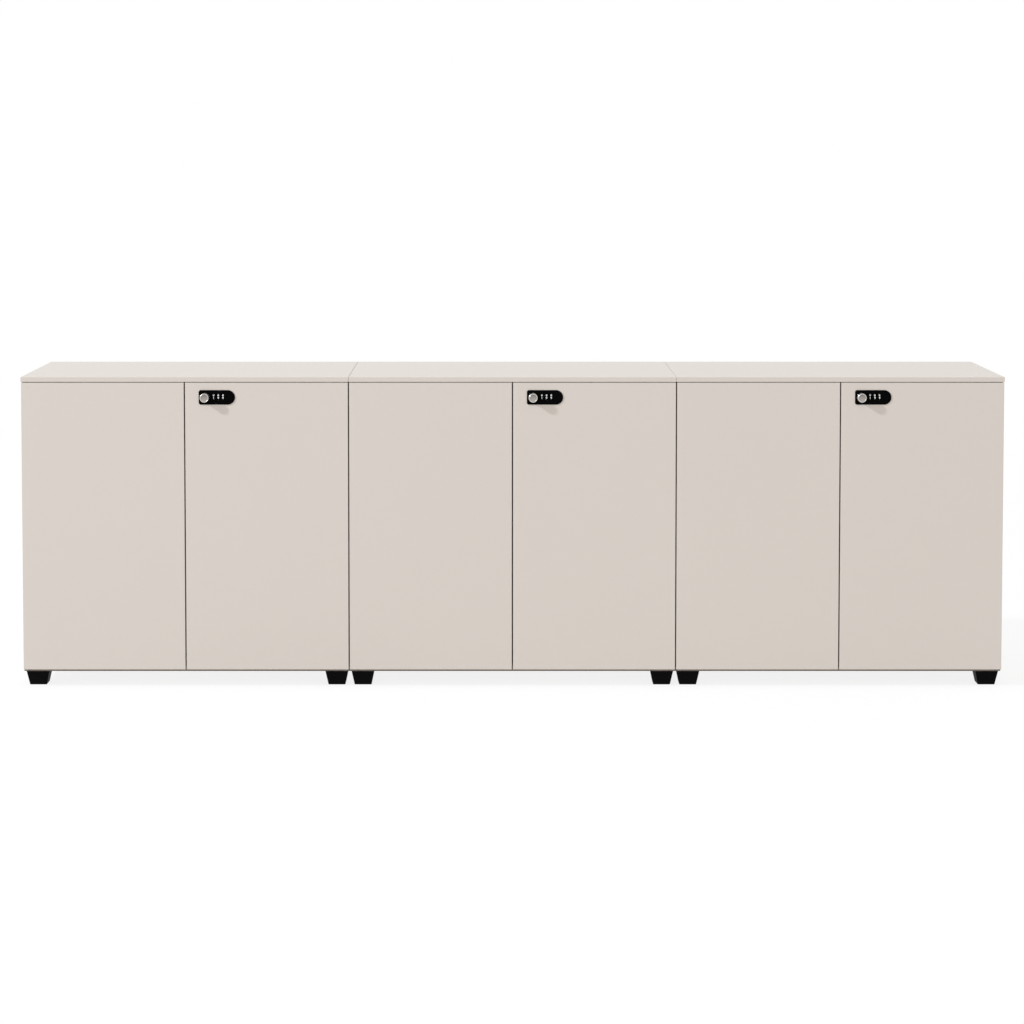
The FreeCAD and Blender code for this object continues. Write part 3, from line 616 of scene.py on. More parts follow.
@dataclass(frozen=True)
class TurnedMetal(Finish):
    """Plated metal that shows the fine rings of a lathe around the piece's Y axis.

    Over the piece's radius, its tone falls by fade from the middle to the upper edge, and rises by
    as much to the lower one; this gradient is painted shade.
    """

    pitch: float = 0.00025
    ring_depth: float = 0.000003
    stretch: Triple = (900.0, 900.0, 900.0)
    amount: float = 0.08
    radius: float = 0.011
    # Painted shade: how much darker the upper edge is, and lighter the lower one.
    fade: float = 0.1

    def build(self) -> bpy.types.Material:
        """Build the turned metal.

        Returns:
            The material.
        """
        material, wiring, shader = self.start()
        shader.inputs["Metallic"].default_value = 1.0
        rings = wiring.use(turned_rings(), Pitch=self.pitch, Radius=self.radius, Fade=self.fade)
        lines = wiring.use(drawn_lines(), Stretch=self.stretch, Amount=self.amount)
        edge = wiring.use(soft_edge(), Radius=self.edge_radius)
        tone = wiring.calc("MULTIPLY", rings["Tone"], lines["Tone"])
        wiring.connect(wiring.scaled(self.color, tone), shader.inputs["Base Color"])
        self.relief(wiring, shader, rings["Height"], self.ring_depth, edge["Normal"])
        return material


@dataclass(frozen=True)
class ClearRubber(Finish):
    """Clear soft plastic, slightly milky."""

    clearness: float = 0.6
    bending: float = 1.45
    grain_size: float = 0.0006
    drift: float = 0.1

    def build(self) -> bpy.types.Material:
        """Build the clear plastic.

        Returns:
            The material.
        """
        material, wiring, shader = self.start()
        shader.inputs["Transmission Weight"].default_value = self.clearness
        shader.inputs["IOR"].default_value = self.bending
        grain = wiring.use(fine_grain(), Grain_Size=self.grain_size, Drift=self.drift)
        wiring.connect(wiring.scaled(self.color, grain["Tone"]), shader.inputs["Base Color"])
        return material


MELAMINE_COLOR = (0.677, 0.609, 0.549)
MELAMINE_ROUGHNESS = 0.36

# Painted shade: the dark tone of the carcass's forward edges, which stands in for the shade in the
# strip under the doors.
CARCASS_FRONT_PAINTED_SHADE = (0.285, 0.248, 0.215)

LOCK_PLASTIC = MouldedPlastic(
    "lock_plastic",
    (0.001, 0.001, 0.001),
    roughness=0.38,
    shine=0.025,
    edge_radius=0.0003,
    edge_lift=0.003,
)
DIAL_PLASTIC = MouldedPlastic(
    "dial_plastic",
    (0.0012, 0.0012, 0.0012),
    roughness=0.42,
    shine=0.03,
    edge_radius=0.0002,
    edge_lift=0.003,
)
FOOT_PLASTIC = MouldedPlastic(
    "foot_moulding",
    (0.002, 0.002, 0.002),
    roughness=0.55,
    shine=0.05,
    edge_radius=0.0008,
    grain_size=0.0007,
    edge_lift=0.003,
)
CAP_PLASTIC = MouldedPlastic(
    "cap_plastic", (0.62, 0.58, 0.53), roughness=0.45, edge_lift=0.05
)
FIGURE_PAINT = MouldedPlastic(
    "figure_paint", (0.86, 0.86, 0.84), roughness=0.5, drift=0.04, edge_lift=0.0
)
STEEL = DrawnSteel("plated_steel", (0.60, 0.61, 0.62), roughness=0.36)
DARK_STEEL = DrawnSteel("dark_plated_steel", (0.19, 0.175, 0.16), roughness=0.42)
SCREW_STEEL = DrawnSteel(
    "screw_steel", (0.56, 0.57, 0.58), roughness=0.3, stretch=(700.0, 700.0, 700.0)
)
# The chromes carry painted shade through their fade: a little on the bright rim, much on the satin
# disc, whose upper half is darker.
BRIGHT_CHROME = TurnedMetal(
    "bright_chrome", (0.66, 0.64, 0.61), roughness=0.3, edge_radius=0.0002
)
SATIN_CHROME = TurnedMetal(
    "satin_chrome",
    (0.36, 0.33, 0.31),
    roughness=0.38,
    edge_radius=0.0002,
    ring_depth=0.000006,
    fade=0.4,
)
BUFFER_RUBBER = ClearRubber("buffer_rubber", (0.82, 0.82, 0.80), roughness=0.25)


# ---------------------------------------------------------------- meshes


def rounded_outline(
    low: Point, high: Point, radii: Sequence[float], inset: float, steps: int
) -> list[Point]:
    """Trace a rectangle with rounded corners, anticlockwise from its lower left corner.

    Args:
        low: lower left corner of the full rectangle.
        high: its upper right corner.
        radii: corner radii, from the lower left one, anticlockwise.
        inset: how far the outline is drawn in on every side, or out if negative.
        steps: segments in each corner.

    Returns:
        The outline's points, as many for each inset.
    """
    left, bottom = low[0] + inset, low[1] + inset
    right, top = high[0] - inset, high[1] - inset
    points = []
    for number, radius in enumerate(radii):
        bend = max(radius - inset, SMALLEST_BEND)
        x = left + bend if number in (0, 3) else right - bend
        y = bottom + bend if number in (0, 1) else top - bend
        for step in range(steps + 1):
            angle = math.radians(180 + 90 * (number + step / steps))
            points.append((x + bend * math.cos(angle), y + bend * math.sin(angle)))
    following = points[1:] + points[:1]
    return [here for here, after in zip(points, following) if math.dist(here, after) > NEAR]


def circle_outline(radius: float, steps: int = 48, center: Point = (0.0, 0.0)) -> list[Point]:
    """Trace a circle, anticlockwise.

    Args:
        radius: its radius.
        steps: its points.
        center: its middle.

    Returns:
        The circle's points.
    """
    angles = [math.tau * step / steps for step in range(steps)]
    x, y = center
    return [(x + radius * math.cos(angle), y + radius * math.sin(angle)) for angle in angles]


def notched_outline(
    radius: float, notches: int, notch: float, inset: float = 0.0, between: int = 6
) -> list[Point]:
    """Trace a circle with small round notches, anticlockwise from the first one's right end.

    Args:
        radius: the circle's radius.
        notches: how many notches there are, evenly spaced.
        notch: a notch's own radius, about a point of the circle.
        inset: how far the whole outline is drawn in.
        between: segments from one notch to the next.

    Returns:
        The outline's points, as many for each inset.
    """
    half = notch / radius
    pitch = math.tau / notches
    shares = (-1.0, -0.8, -0.4, 0.0, 0.4, 0.8, 1.0)
    steps = [(share * half, notch * math.sqrt(1 - share * share)) for share in shares]
    steps += [
        (half + (pitch - 2 * half) * step / between, 0.0) for step in range(1, between)
    ]
    points = []
    for number in range(notches):
        for turn, depth in steps:
            angle, reach = number * pitch + turn, radius - depth - inset
            points.append((reach * math.cos(angle), reach * math.sin(angle)))
    return points


def cross_outline(reach: float, width: float) -> list[Point]:
    """Trace the cross recess of a screw, anticlockwise.

    Args:
        reach: from its middle to an arm's end.
        width: the arms' width.

    Returns:
        The cross's twelve points.
    """
    half = width / 2
    quarter = [(half, -half), (reach, -half), (reach, half)]
    points = []
    for turn in range(4):
        angle = math.radians(90 * turn)
        cos, sin = math.cos(angle), math.sin(angle)
        points += [(x * cos - y * sin, x * sin + y * cos) for x, y in quarter]
    return points


class Draft:
    """A mesh while its rings, walls and caps are drawn, in millimetres, looking along -Y."""

    def __init__(self, *finishes: Finish) -> None:
        """Start an empty mesh.

        Args:
            finishes: the finishes that its faces can have.
        """
        self.mesh = bmesh.new()
        self.finishes = finishes
        self.current = 0

    def paint(self, finish: Finish) -> None:
        """Give the faces drawn from now on one of the finishes."""
        self.current = self.finishes.index(finish)

    def ring(self, outline: Iterable[Point], depth: float) -> Ring:
        """Lay an outline in an upright plane.

        Args:
            outline: its points, as across and up.
            depth: the plane's place along Y.

        Returns:
            The new ring.
        """
        return [self.mesh.verts.new((x, depth, z)) for x, z in outline]

    def rounded(
        self, low: Point, high: Point, radii: Sequence[float], edge: Iterable[Point], steps: int
    ) -> list[Ring]:
        """Lay a rounded rectangle once for each step of its edge.

        Args:
            low: lower left corner of the full rectangle.
            high: its upper right corner.
            radii: corner radii, from the lower left one, anticlockwise.
            edge: pairs of how far the outline is drawn in and its depth.
            steps: segments in each corner.

        Returns:
            The rings, in the edge's order.
        """
        return [
            self.ring(rounded_outline(low, high, radii, inset, steps), depth)
            for inset, depth in edge
        ]

    def face(self, corners: Sequence[bmesh.types.BMVert]) -> None:
        """Add one face in the current finish."""
        self.mesh.faces.new(corners).material_index = self.current

    def wall(self, *rings: Ring) -> None:
        """Join rings in order, where a ring of one point makes a fan.

        Args:
            rings: the rings, each with as many points as the next, or with one.
        """
        for first, second in zip(rings, rings[1:]):
            for here in range(max(len(first), len(second))):
                after = here + 1
                corners = [
                    first[here % len(first)],
                    first[after % len(first)],
                    second[after % len(second)],
                    second[here % len(second)],
                ]
                self.face(list(dict.fromkeys(corners)))

    def cap(self, *rings: Ring) -> None:
        """Fill the flat area inside the first ring and outside the others.

        Args:
            rings: the outer ring and the holes in it.
        """
        edges = []
        for ring in rings:
            for ends in zip(ring, ring[1:] + ring[:1]):
                edges.append(self.mesh.edges.get(ends) or self.mesh.edges.new(ends))
        filled = bmesh.ops.triangle_fill(self.mesh, use_beauty=True, edges=edges)
        for part in filled["geom"]:
            if isinstance(part, bmesh.types.BMFace):
                part.material_index = self.current

    def turned(self, profile: Iterable[Point], steps: int = 48) -> None:
        """Revolve a profile about the Y axis.

        Args:
            profile: its points, as radius and depth; a radius of 0 closes the piece.
            steps: segments around the axis.
        """
        rings = [
            self.ring(circle_outline(radius, steps) if radius else [(0.0, 0.0)], depth)
            for radius, depth in profile
        ]
        self.wall(*rings)

    def done(self, name: str, crease: float = 35.0) -> bpy.types.Mesh:
        """Close the draft.

        Args:
            name: the mesh's name.
            crease: the angle, in degrees, from which an edge is shaded sharp.

        Returns:
            The mesh with its materials.
        """
        bmesh.ops.remove_doubles(self.mesh, verts=self.mesh.verts, dist=NEAR)
        bmesh.ops.dissolve_degenerate(self.mesh, dist=NEAR, edges=self.mesh.edges)
        bmesh.ops.recalc_face_normals(self.mesh, faces=self.mesh.faces)
        bmesh.ops.scale(self.mesh, vec=(MM, MM, MM), verts=self.mesh.verts)
        data = bpy.data.meshes.new(name)
        self.mesh.to_mesh(data)
        self.mesh.free()
        for finish in self.finishes:
            data.materials.append(finish.material())
        data.shade_smooth()
        data.set_sharp_from_angle(angle=math.radians(crease))
        return data


def repeated(name: str, pattern: bpy.types.Mesh, places: Iterable[Matrix]) -> bpy.types.Mesh:
    """Make one mesh from copies of a pattern.

    Args:
        name: the new mesh's name.
        pattern: the mesh to copy.
        places: where each copy goes.

    Returns:
        The new mesh, in the row frame.
    """
    copies = bmesh.new()
    for place in places:
        known = len(copies.verts)
        copies.from_mesh(pattern)
        copies.verts.ensure_lookup_table()
        bmesh.ops.transform(copies, matrix=place, verts=copies.verts[known:])
    data = bpy.data.meshes.new(name)
    copies.to_mesh(data)
    copies.free()
    for material in pattern.materials:
        data.materials.append(material)
    return data


def fit(
    data: bpy.types.Mesh, name: str, body: str, place: Matrix | None = None
) -> bpy.types.Object:
    """Fit a mesh to a body as a new piece of the object.

    Args:
        data: the piece's mesh.
        name: the piece's name.
        body: the body that it rides on.
        place: where the mesh goes, or nothing for a mesh in the row frame.

    Returns:
        The piece.
    """
    piece = bpy.data.objects.new(name, data)
    piece.matrix_world = place or Matrix.Identity(4)
    bpy.context.scene.collection.objects.link(piece)
    level = piece.modifiers.new("even_shading", "WEIGHTED_NORMAL")
    level.keep_sharp = True
    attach(piece, body)
    LOG.info("piece %s on %s: %d faces", name, body, len(data.polygons))
    return piece


def dress(node: str, finish: Finish) -> None:
    """Give a CAD node its finish.

    Args:
        node: the node's name.
        finish: the finish for the whole node.
    """
    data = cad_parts[node].data
    data.materials.clear()
    data.materials.append(finish.material())
    LOG.info("node %s in %s", node, finish.name)


def board_finish(name: str, node: str, thin: Axis, color: Color, **more: object) -> Melamine:
    """Make the melamine finish for all boards of one size.

    Args:
        name: the finish's name.
        node: one of the boards, which gives the size.
        thin: the board's thin direction.
        color: the melamine's colour.
        more: other values of the finish.

    Returns:
        The finish.
    """
    low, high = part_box(node)
    return Melamine(name, color, MELAMINE_ROUGHNESS, size=tuple(high - low), thin=thin, **more)


# ---------------------------------------------------------------- the row


@dataclass(frozen=True)
class Cupboard:
    """One cupboard of the row: the names and places that its pieces are fitted to."""

    number: int

    def node(self, part: str) -> str:
        """Name the cupboard's node or body for a part."""
        return f"unit{self.number}_{part}"

    def box(self, part: str) -> tuple[Vector, Vector]:
        """Return the lowest and the highest corner of one of the cupboard's nodes."""
        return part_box(self.node(part))

    @property
    def left(self) -> float:
        """Return the X of the cupboard's left side plane."""
        return self.box("left_side")[0].x

    @property
    def right(self) -> float:
        """Return the X of the cupboard's right side plane."""
        return self.box("right_side")[1].x


@dataclass
class Screw:
    """A cross-recess screw's head, sunk or domed.

    Its dome is given by shares of its radius and of its rise, and its tapers are shares too.
    """

    radius: float = 3.2
    rise: float = 0.25
    dome: tuple[Point, ...] = ((1.0, 0.0), (0.97, 0.45), (0.88, 0.82), (0.72, 1.0))
    recess_reach: float = 1.9
    recess_width: float = 0.85
    recess_depth: float = 1.0
    recess_taper: float = 0.7
    seat: float = 0.4
    seat_taper: float = 0.9
    steps: int = 32

    @cached_property
    def mesh(self) -> bpy.types.Mesh:
        """Draw the head with its recess.

        Returns:
            The head, seated at the origin and looking along -Y.
        """
        draft = Draft(SCREW_STEEL)
        rim = [
            draft.ring(circle_outline(self.radius * share, self.steps), -self.rise * height)
            for share, height in self.dome
        ]
        foot = draft.ring(circle_outline(self.radius * self.seat_taper, self.steps), self.seat)
        reach, width = self.recess_reach, self.recess_width
        mouth = draft.ring(cross_outline(reach, width), -self.rise)
        floor = draft.ring(
            cross_outline(reach * self.recess_taper, width * self.recess_taper),
            self.recess_depth - self.rise,
        )
        draft.wall(foot, *rim)
        draft.cap(foot)
        draft.cap(rim[-1], mouth)
        draft.wall(mouth, floor)
        draft.cap(floor)
        return draft.done("screw_head")


@dataclass
class Carcass:
    """Tops, sides, bottoms, backs, shelves and rails, with their cam-fitting caps and screws.

    A cap's border stands out by cap_rise, and its dish by a share of that, cap_dish.
    """

    cap_radius: float = 8.0
    cap_rise: float = 0.7
    cap_bevel: float = 0.3
    cap_border: float = 2.0
    cap_dish: float = 0.7
    cap_inset: float = 34.0
    cap_depth: float = 40.0
    cap_spread: float = 90.0
    back_screws: int = 5
    back_screw_inset: float = 40.0
    back_screw_drop: float = 8.0
    screw: Screw = field(default_factory=lambda: Screw(radius=3.5, rise=1.3, seat=0.2))

    def finishes(self) -> dict[str, Melamine]:
        """Make one finish for each kind of board.

        Returns:
            The finish by the board's name in a cupboard.
        """
        kinds = {
            "top_panel": Axis.Z,
            "bottom_panel": Axis.Z,
            "shelf": Axis.Z,
            "back_panel": Axis.Y,
            "left_side": Axis.X,
            "right_side": Axis.X,
        }
        finishes = {
            part: board_finish(f"melamine_{part}", f"unit1_{part}", thin, MELAMINE_COLOR)
            for part, thin in kinds.items()
        }
        # Painted shade: the forward edges of the bottom panels and sides take a dark tone for the
        # shade under the doors.
        for part in ("bottom_panel", "left_side", "right_side"):
            finishes[part] = replace(finishes[part], front_tone=CARCASS_FRONT_PAINTED_SHADE)
        return finishes

    def cap_mesh(self) -> bpy.types.Mesh:
        """Turn the thin cap that closes a cam fitting, with a dish inside its raised border.

        Returns:
            The cap, looking along -Y.
        """
        radius, rise, bevel = self.cap_radius, self.cap_rise, self.cap_bevel
        outer = radius - 2 * bevel
        inner = outer - self.cap_border
        dish = rise * self.cap_dish
        draft = Draft(CAP_PLASTIC)
        draft.turned(
            [
                (0.0, bevel),
                (outer, bevel),
                (radius - bevel, 0.0),
                (radius, -bevel / 3),
                (radius - bevel / 3, -dish),
                (outer, -rise),
                (inner, -rise),
                (inner - bevel, -dish),
                (0.0, -dish),
            ]
        )
        return draft.done("fitting_cap")

    def cap_places(self, unit: Cupboard) -> list[Matrix]:
        """Find the caps under the rails and under the bottom panel of a cupboard.

        Args:
            unit: the cupboard.

        Returns:
            The caps' places.
        """
        rails_low, rails_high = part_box("top_rails")
        low, high = unit.box("bottom_panel")
        inset, depth, spread = self.cap_inset * MM, self.cap_depth * MM, self.cap_spread * MM
        ends = (low.x + inset, high.x - inset)
        rows = (rails_low.y + depth, rails_high.y - depth)
        under_rails = [Facing.DOWN.at((x, y, rails_low.z)) for x in ends for y in rows]
        middle = (low.y + high.y) / 2
        under_bottom = [
            Facing.DOWN.at((x, middle + side * spread, low.z)) for x in ends for side in (-1, 1)
        ]
        return under_rails + under_bottom

    def back_screw_places(self, unit: Cupboard) -> list[Matrix]:
        """Find the screws that hold the top of a cupboard's back panel.

        Args:
            unit: the cupboard.

        Returns:
            The screws' places, from the left to the right.
        """
        low, high = unit.box("back_panel")
        inset = self.back_screw_inset * MM
        height = high.z - self.back_screw_drop * MM
        step = (high.x - low.x - 2 * inset) / (self.back_screws - 1)
        return [
            Facing.BACK.at((low.x + inset + step * number, high.y, height))
            for number in range(self.back_screws)
        ]

    def build(self, row: Sequence[Cupboard]) -> None:
        """Dress the boards and fit the caps and the back panels' screws.

        Args:
            row: the cupboards.
        """
        finishes = self.finishes()
        # Painted shade: the rails' forward edge takes the same dark tone.
        rails = board_finish(
            "melamine_rails", "top_rails", Axis.Z, MELAMINE_COLOR, front_tone=CARCASS_FRONT_PAINTED_SHADE
        )
        dress("top_rails", rails)
        cap = self.cap_mesh()
        for unit in row:
            for part, finish in finishes.items():
                dress(unit.node(part), finish)
            name = unit.node("fitting_caps")
            fit(repeated(name, cap, self.cap_places(unit)), name, "carcass")
            name = unit.node("back_screws")
            screws = repeated(name, self.screw.mesh, self.back_screw_places(unit))
            fit(screws, name, "carcass")


@dataclass
class DoorPair:
    """A cupboard's two doors with their steel leaves, the keeper and all their screws."""

    screw: Screw = field(default_factory=lambda: Screw(radius=3.2, rise=0.15))
    keeper_screw: Screw = field(default_factory=lambda: Screw(radius=2.9, rise=0.9))
    leaf_screws: tuple[float, ...] = (15.0, 33.0)
    keeper_plate: float = 2.0
    keeper_screw_height: float = 4.6
    keeper_screw_spread: float = 4.8

    def leaf_places(self, unit: Cupboard, side: str) -> list[Matrix]:
        """Find the screws in a door's two leaves.

        Args:
            unit: the cupboard.
            side: the door's side, left or right.

        Returns:
            The screws' places, two at the top and two at the bottom.
        """
        low, high = unit.box(f"{side}_door_leaves")
        middle = (low.y + high.y) / 2
        places = []
        for offset in self.leaf_screws:
            x = low.x + offset * MM if side == "left" else high.x - offset * MM
            places.append(Facing.UP.at((x, middle, high.z)))
            places.append(Facing.DOWN.at((x, middle, low.z)))
        return places

    def keeper_screw_places(self, unit: Cupboard) -> list[Matrix]:
        """Find the two screws in the keeper's plate.

        Args:
            unit: the cupboard.

        Returns:
            The screws' places.
        """
        low, high = unit.box("lock_keeper")
        middle = (low.x + high.x) / 2
        plate_back = low.y + self.keeper_plate * MM
        height = low.z + self.keeper_screw_height * MM
        spread = self.keeper_screw_spread * MM
        return [
            Facing.BACK.at((middle + turn * spread, plate_back, height)) for turn in (-1, 1)
        ]

    def build(self, unit: Cupboard, finish: Melamine) -> None:
        """Dress a cupboard's doors and fit their screws.

        Args:
            unit: the cupboard.
            finish: the doors' melamine.
        """
        for side in ("left", "right"):
            dress(unit.node(f"{side}_door"), finish)
            dress(unit.node(f"{side}_door_leaves"), STEEL)
            name = unit.node(f"{side}_door_screws")
            screws = repeated(name, self.screw.mesh, self.leaf_places(unit, side))
            fit(screws, name, unit.node(f"{side}_door"))
        dress(unit.node("lock_keeper"), STEEL)
        name = unit.node("keeper_screws")
        screws = repeated(name, self.keeper_screw.mesh, self.keeper_screw_places(unit))
        fit(screws, name, unit.node("left_door"))


@dataclass
class CombinationLock:
    """The lock in a right door, drawn about its spindle with the door's face at depth 0.

    The plate stands out to plate_land, and its raised field to plate_front. The rounded edges
    are pairs of how far the outline is drawn in and its depth: from the door's face for the
    plate, and from plate_front for the field and the mouths.

    The knob's depths are taken from its front: the disc's at its middle, halfway out, near its
    edge and on it, and the rim's with a distance out from the disc or in from the knob's radius.
    The spindle's tip is given by its radii and their distances from the end.
    """

    plate_low: Point = (-15.0, -17.75)
    plate_high: Point = (73.5, 17.75)
    plate_radii: tuple[float, ...] = (5.0, 17.75, 17.75, 5.0)
    plate_edge: tuple[Point, ...] = ((0.0, 0.0), (0.0, -0.9), (0.12, -1.32), (0.42, -1.68))
    plate_bevel: float = 0.9
    plate_land: float = 1.9
    plate_front: float = 2.5
    field_low: Point = (13.6, -12.2)
    field_high: Point = (69.0, 12.2)
    field_radii: tuple[float, ...] = (2.5, 12.2, 12.2, 2.5)
    field_edge: tuple[Point, ...] = ((0.15, 0.12), (0.5, 0.0))
    rib_place: float = 54.0
    rib_half: float = 0.35
    rib_gap: float = 0.9
    rib_corner: float = 0.3
    rib_rise: float = 0.2
    well_radius: float = 13.0
    well_depth: float = 0.5
    well_slope: float = 0.3
    bore_radius: float = 6.05
    bore_bevel: float = 0.4
    case_low: Point = (-10.0, -14.0)
    case_high: Point = (66.0, 14.0)
    case_corner: float = 1.2
    case_bevel: float = 0.8
    case_depth: float = 24.0
    case_screws_across: Point = (26.0, 60.0)
    case_screws_up: Point = (-10.0, 10.0)
    dial_radius: float = 11.5
    dial_width: float = 6.6
    dial_bevel: float = 0.3
    dial_notch: float = 0.8
    dial_bore: float = 1.55
    dial_pitch: float = 11.4
    dial_offset: float = 21.5
    opening_half: float = 3.8
    opening_corner: float = 0.8
    mouth: Point = (-5.3, 8.6)
    mouth_edge: tuple[Point, ...] = ((-0.25, 0.0), (-0.08, 0.1), (0.0, 0.25))
    window: Point = (-10.0, 10.0)
    slot: Point = (-12.0, 12.0)
    lip: float = 0.4
    slot_depth: float = 20.2
    knob_radius: float = 11.0
    knob_reach: float = 20.0
    knob_length: float = 16.0
    disc_radius: float = 8.3
    disc_depths: tuple[float, ...] = (0.95, 0.88, 0.7, 0.75)
    disc_border: float = 0.3
    groove_width: float = 0.3
    groove_floor: float = 1.05
    rim_inner: tuple[Point, ...] = ((0.35, 0.45), (0.6, 0.12), (1.0, 0.0))
    rim_outer: tuple[Point, ...] = ((1.3, 0.1), (0.75, 0.45), (0.3, 1.0), (0.08, 1.7), (0.0, 2.4))
    collar: Point = (12.4, 13.6)
    collar_depth: float = 0.35
    collar_bevel: float = 0.3
    foot_bevel: Point = (0.5, 0.6)
    mark_half: float = 0.35
    mark_gaps: Point = (0.75, 1.2)
    mark_corner: float = 0.25
    mark_depth: float = 0.9
    shank_radius: float = 6.0
    cam_seat: float = 28.0
    cam_end: float = 31.0
    thread_radius: float = 4.0
    thread_pitch: float = 0.8
    thread_depth: float = 0.3
    spindle_end: float = 36.0
    spindle_tip: tuple[Point, ...] = ((3.9, 0.6), (3.3, 0.0))
    washer_radius: float = 7.6
    washer_height: float = 1.0
    washer_bevel: float = 0.2
    nut_radius: float = 7.0
    nut_height: float = 3.0
    nut_bevel: Point = (0.4, 0.3)
    nut_bore: float = 4.05
    turning_steps: int = 72
    figure_size: float = 7.5
    figure_boldness: float = 0.25
    figure_thickness: float = 0.08
    figure_curves: int = 4
    figure_cuts: int = 12
    figures: int = 10
    figure_rise: float = 13.5
    figures_shown: tuple[int, ...] = (0, 8, 8)
    screw: Screw = field(default_factory=lambda: Screw(radius=2.6, rise=1.0))

    @cached_property
    def housing(self) -> bpy.types.Mesh:
        """Draw the plate with its raised field, knob well and dial windows, and the case.

        Returns:
            The housing as one mesh.
        """
        draft = Draft(LOCK_PLASTIC)
        land, front = -self.plate_land, -self.plate_front

        plate_edge = [*self.plate_edge, (self.plate_bevel, land)]
        rim = draft.rounded(self.plate_low, self.plate_high, self.plate_radii, plate_edge, steps=14)
        draft.wall(*rim)

        field_edge = [(0.0, land), *((inset, front + back) for inset, back in self.field_edge)]
        step = draft.rounded(self.field_low, self.field_high, self.field_radii, field_edge, steps=12)
        draft.wall(*step)

        floor = land + self.well_depth
        bore, bevel = self.bore_radius, self.bore_bevel
        well = [
            draft.ring(circle_outline(radius), depth)
            for radius, depth in (
                (self.well_radius, land),
                (self.well_radius - self.well_slope, floor),
                (bore + bevel, floor),
                (bore, floor + bevel),
                (bore, self.case_depth - bevel),
                (bore + bevel, self.case_depth),
            )
        ]
        draft.wall(*well)
        draft.cap(rim[-1], step[0], well[0])

        case_edge = [
            (0.0, 0.0),
            (0.0, self.case_depth - self.case_bevel),
            (self.case_bevel, self.case_depth),
        ]
        corners = (self.case_corner,) * 4
        case = draft.rounded(self.case_low, self.case_high, corners, case_edge, steps=4)
        draft.cap(rim[0], case[0])
        draft.wall(*case)
        draft.cap(case[-1], well[-1])

        mouths = [self.dial_opening(draft, number) for number in range(DIALS)]
        draft.cap(step[-1], *mouths)
        return draft.done("lock_housing", crease=18.0)

    def dial_opening(self, draft: Draft, number: int) -> Ring:
        """Sink the opening for a dial: its mouth in a thin lip, the window behind it, the slot.

        Args:
            draft: the housing's draft.
            number: the dial's number, from 0.

        Returns:
            The mouth's outer ring, in the plate's front.
        """
        middle = self.dial_offset + number * self.dial_pitch
        front = -self.plate_front

        def between(ends: Point, *edge: Point) -> list[Ring]:
            """Lay the opening between two heights, once for each inset and depth of its edge."""
            low, high = (middle - self.opening_half, ends[0]), (middle + self.opening_half, ends[1])
            return draft.rounded(low, high, (self.opening_corner,) * 4, edge, steps=4)

        mouth_edge = [(inset, front + back) for inset, back in self.mouth_edge]
        rings = [
            *between(self.mouth, *mouth_edge, (0.0, front + self.lip)),
            *between(self.window, (0.0, front + self.lip), (0.0, 0.0)),
            *between(self.slot, (0.0, 0.0), (0.0, self.slot_depth)),
        ]
        draft.wall(*rings)
        draft.cap(rings[-1])
        return rings[0]

    @cached_property
    def rib(self) -> bpy.types.Mesh:
        """Draw the fine raised rib that parts the dials' zone from the plate's blank end.

        Returns:
            The rib, sunk into the plate's front by as much as it rises.
        """
        draft = Draft(LOCK_PLASTIC)
        low = (self.rib_place - self.rib_half, self.field_low[1] + self.rib_gap)
        high = (self.rib_place + self.rib_half, self.field_high[1] - self.rib_gap)
        front, rise = -self.plate_front, self.rib_rise
        edge = [(0.0, front + rise), (0.0, front - rise / 2), (rise, front - rise)]
        rings = draft.rounded(low, high, (self.rib_corner,) * 4, edge, steps=3)
        draft.wall(*rings)
        draft.cap(rings[0])
        draft.cap(rings[-1])
        return draft.done("lock_rib")

    @cached_property
    def knob(self) -> bpy.types.Mesh:
        """Draw the knob with its bright rim and satin disc, on the spindle.

        Returns:
            The knob, its spindle with the threaded end, and the mark on its rim, as one mesh.
        """
        face, radius, disc = -self.knob_reach, self.knob_radius, self.disc_radius
        steps = self.turning_steps
        draft = Draft(BRIGHT_CHROME, SATIN_CHROME, STEEL, LOCK_PLASTIC)
        draft.paint(SATIN_CHROME)
        draft.turned(self.disc_profile(face, disc), steps)
        draft.paint(BRIGHT_CHROME)
        draft.turned(self.rim_profile(face, disc, radius), steps)
        draft.paint(STEEL)
        draft.turned(self.spindle_profile(face + self.knob_length), steps)
        draft.paint(LOCK_PLASTIC)
        inner, outer = self.mark_gaps
        low, high = (-self.mark_half, disc + inner), (self.mark_half, radius - outer)
        edge = [(0.0, face), (0.0, face + self.mark_depth)]
        mark = draft.rounded(low, high, (self.mark_corner,) * 4, edge, steps=3)
        draft.wall(*mark)
        for ring in mark:
            draft.cap(ring)
        return draft.done("lock_knob", crease=28.0)

    def disc_profile(self, face: float, disc: float) -> list[Point]:
        """Trace the slightly dished disc, out to the groove around it.

        Args:
            face: the depth of the knob's front.
            disc: the disc's radius.

        Returns:
            The profile's points, as radius and depth.
        """
        middle, halfway, near, edge = self.disc_depths
        floor = face + self.groove_floor
        return [
            (0.0, face + middle),
            (disc / 2, face + halfway),
            (disc - self.disc_border, face + near),
            (disc, face + edge),
            (disc + self.groove_width / 3, floor),
            (disc + self.groove_width, floor),
        ]

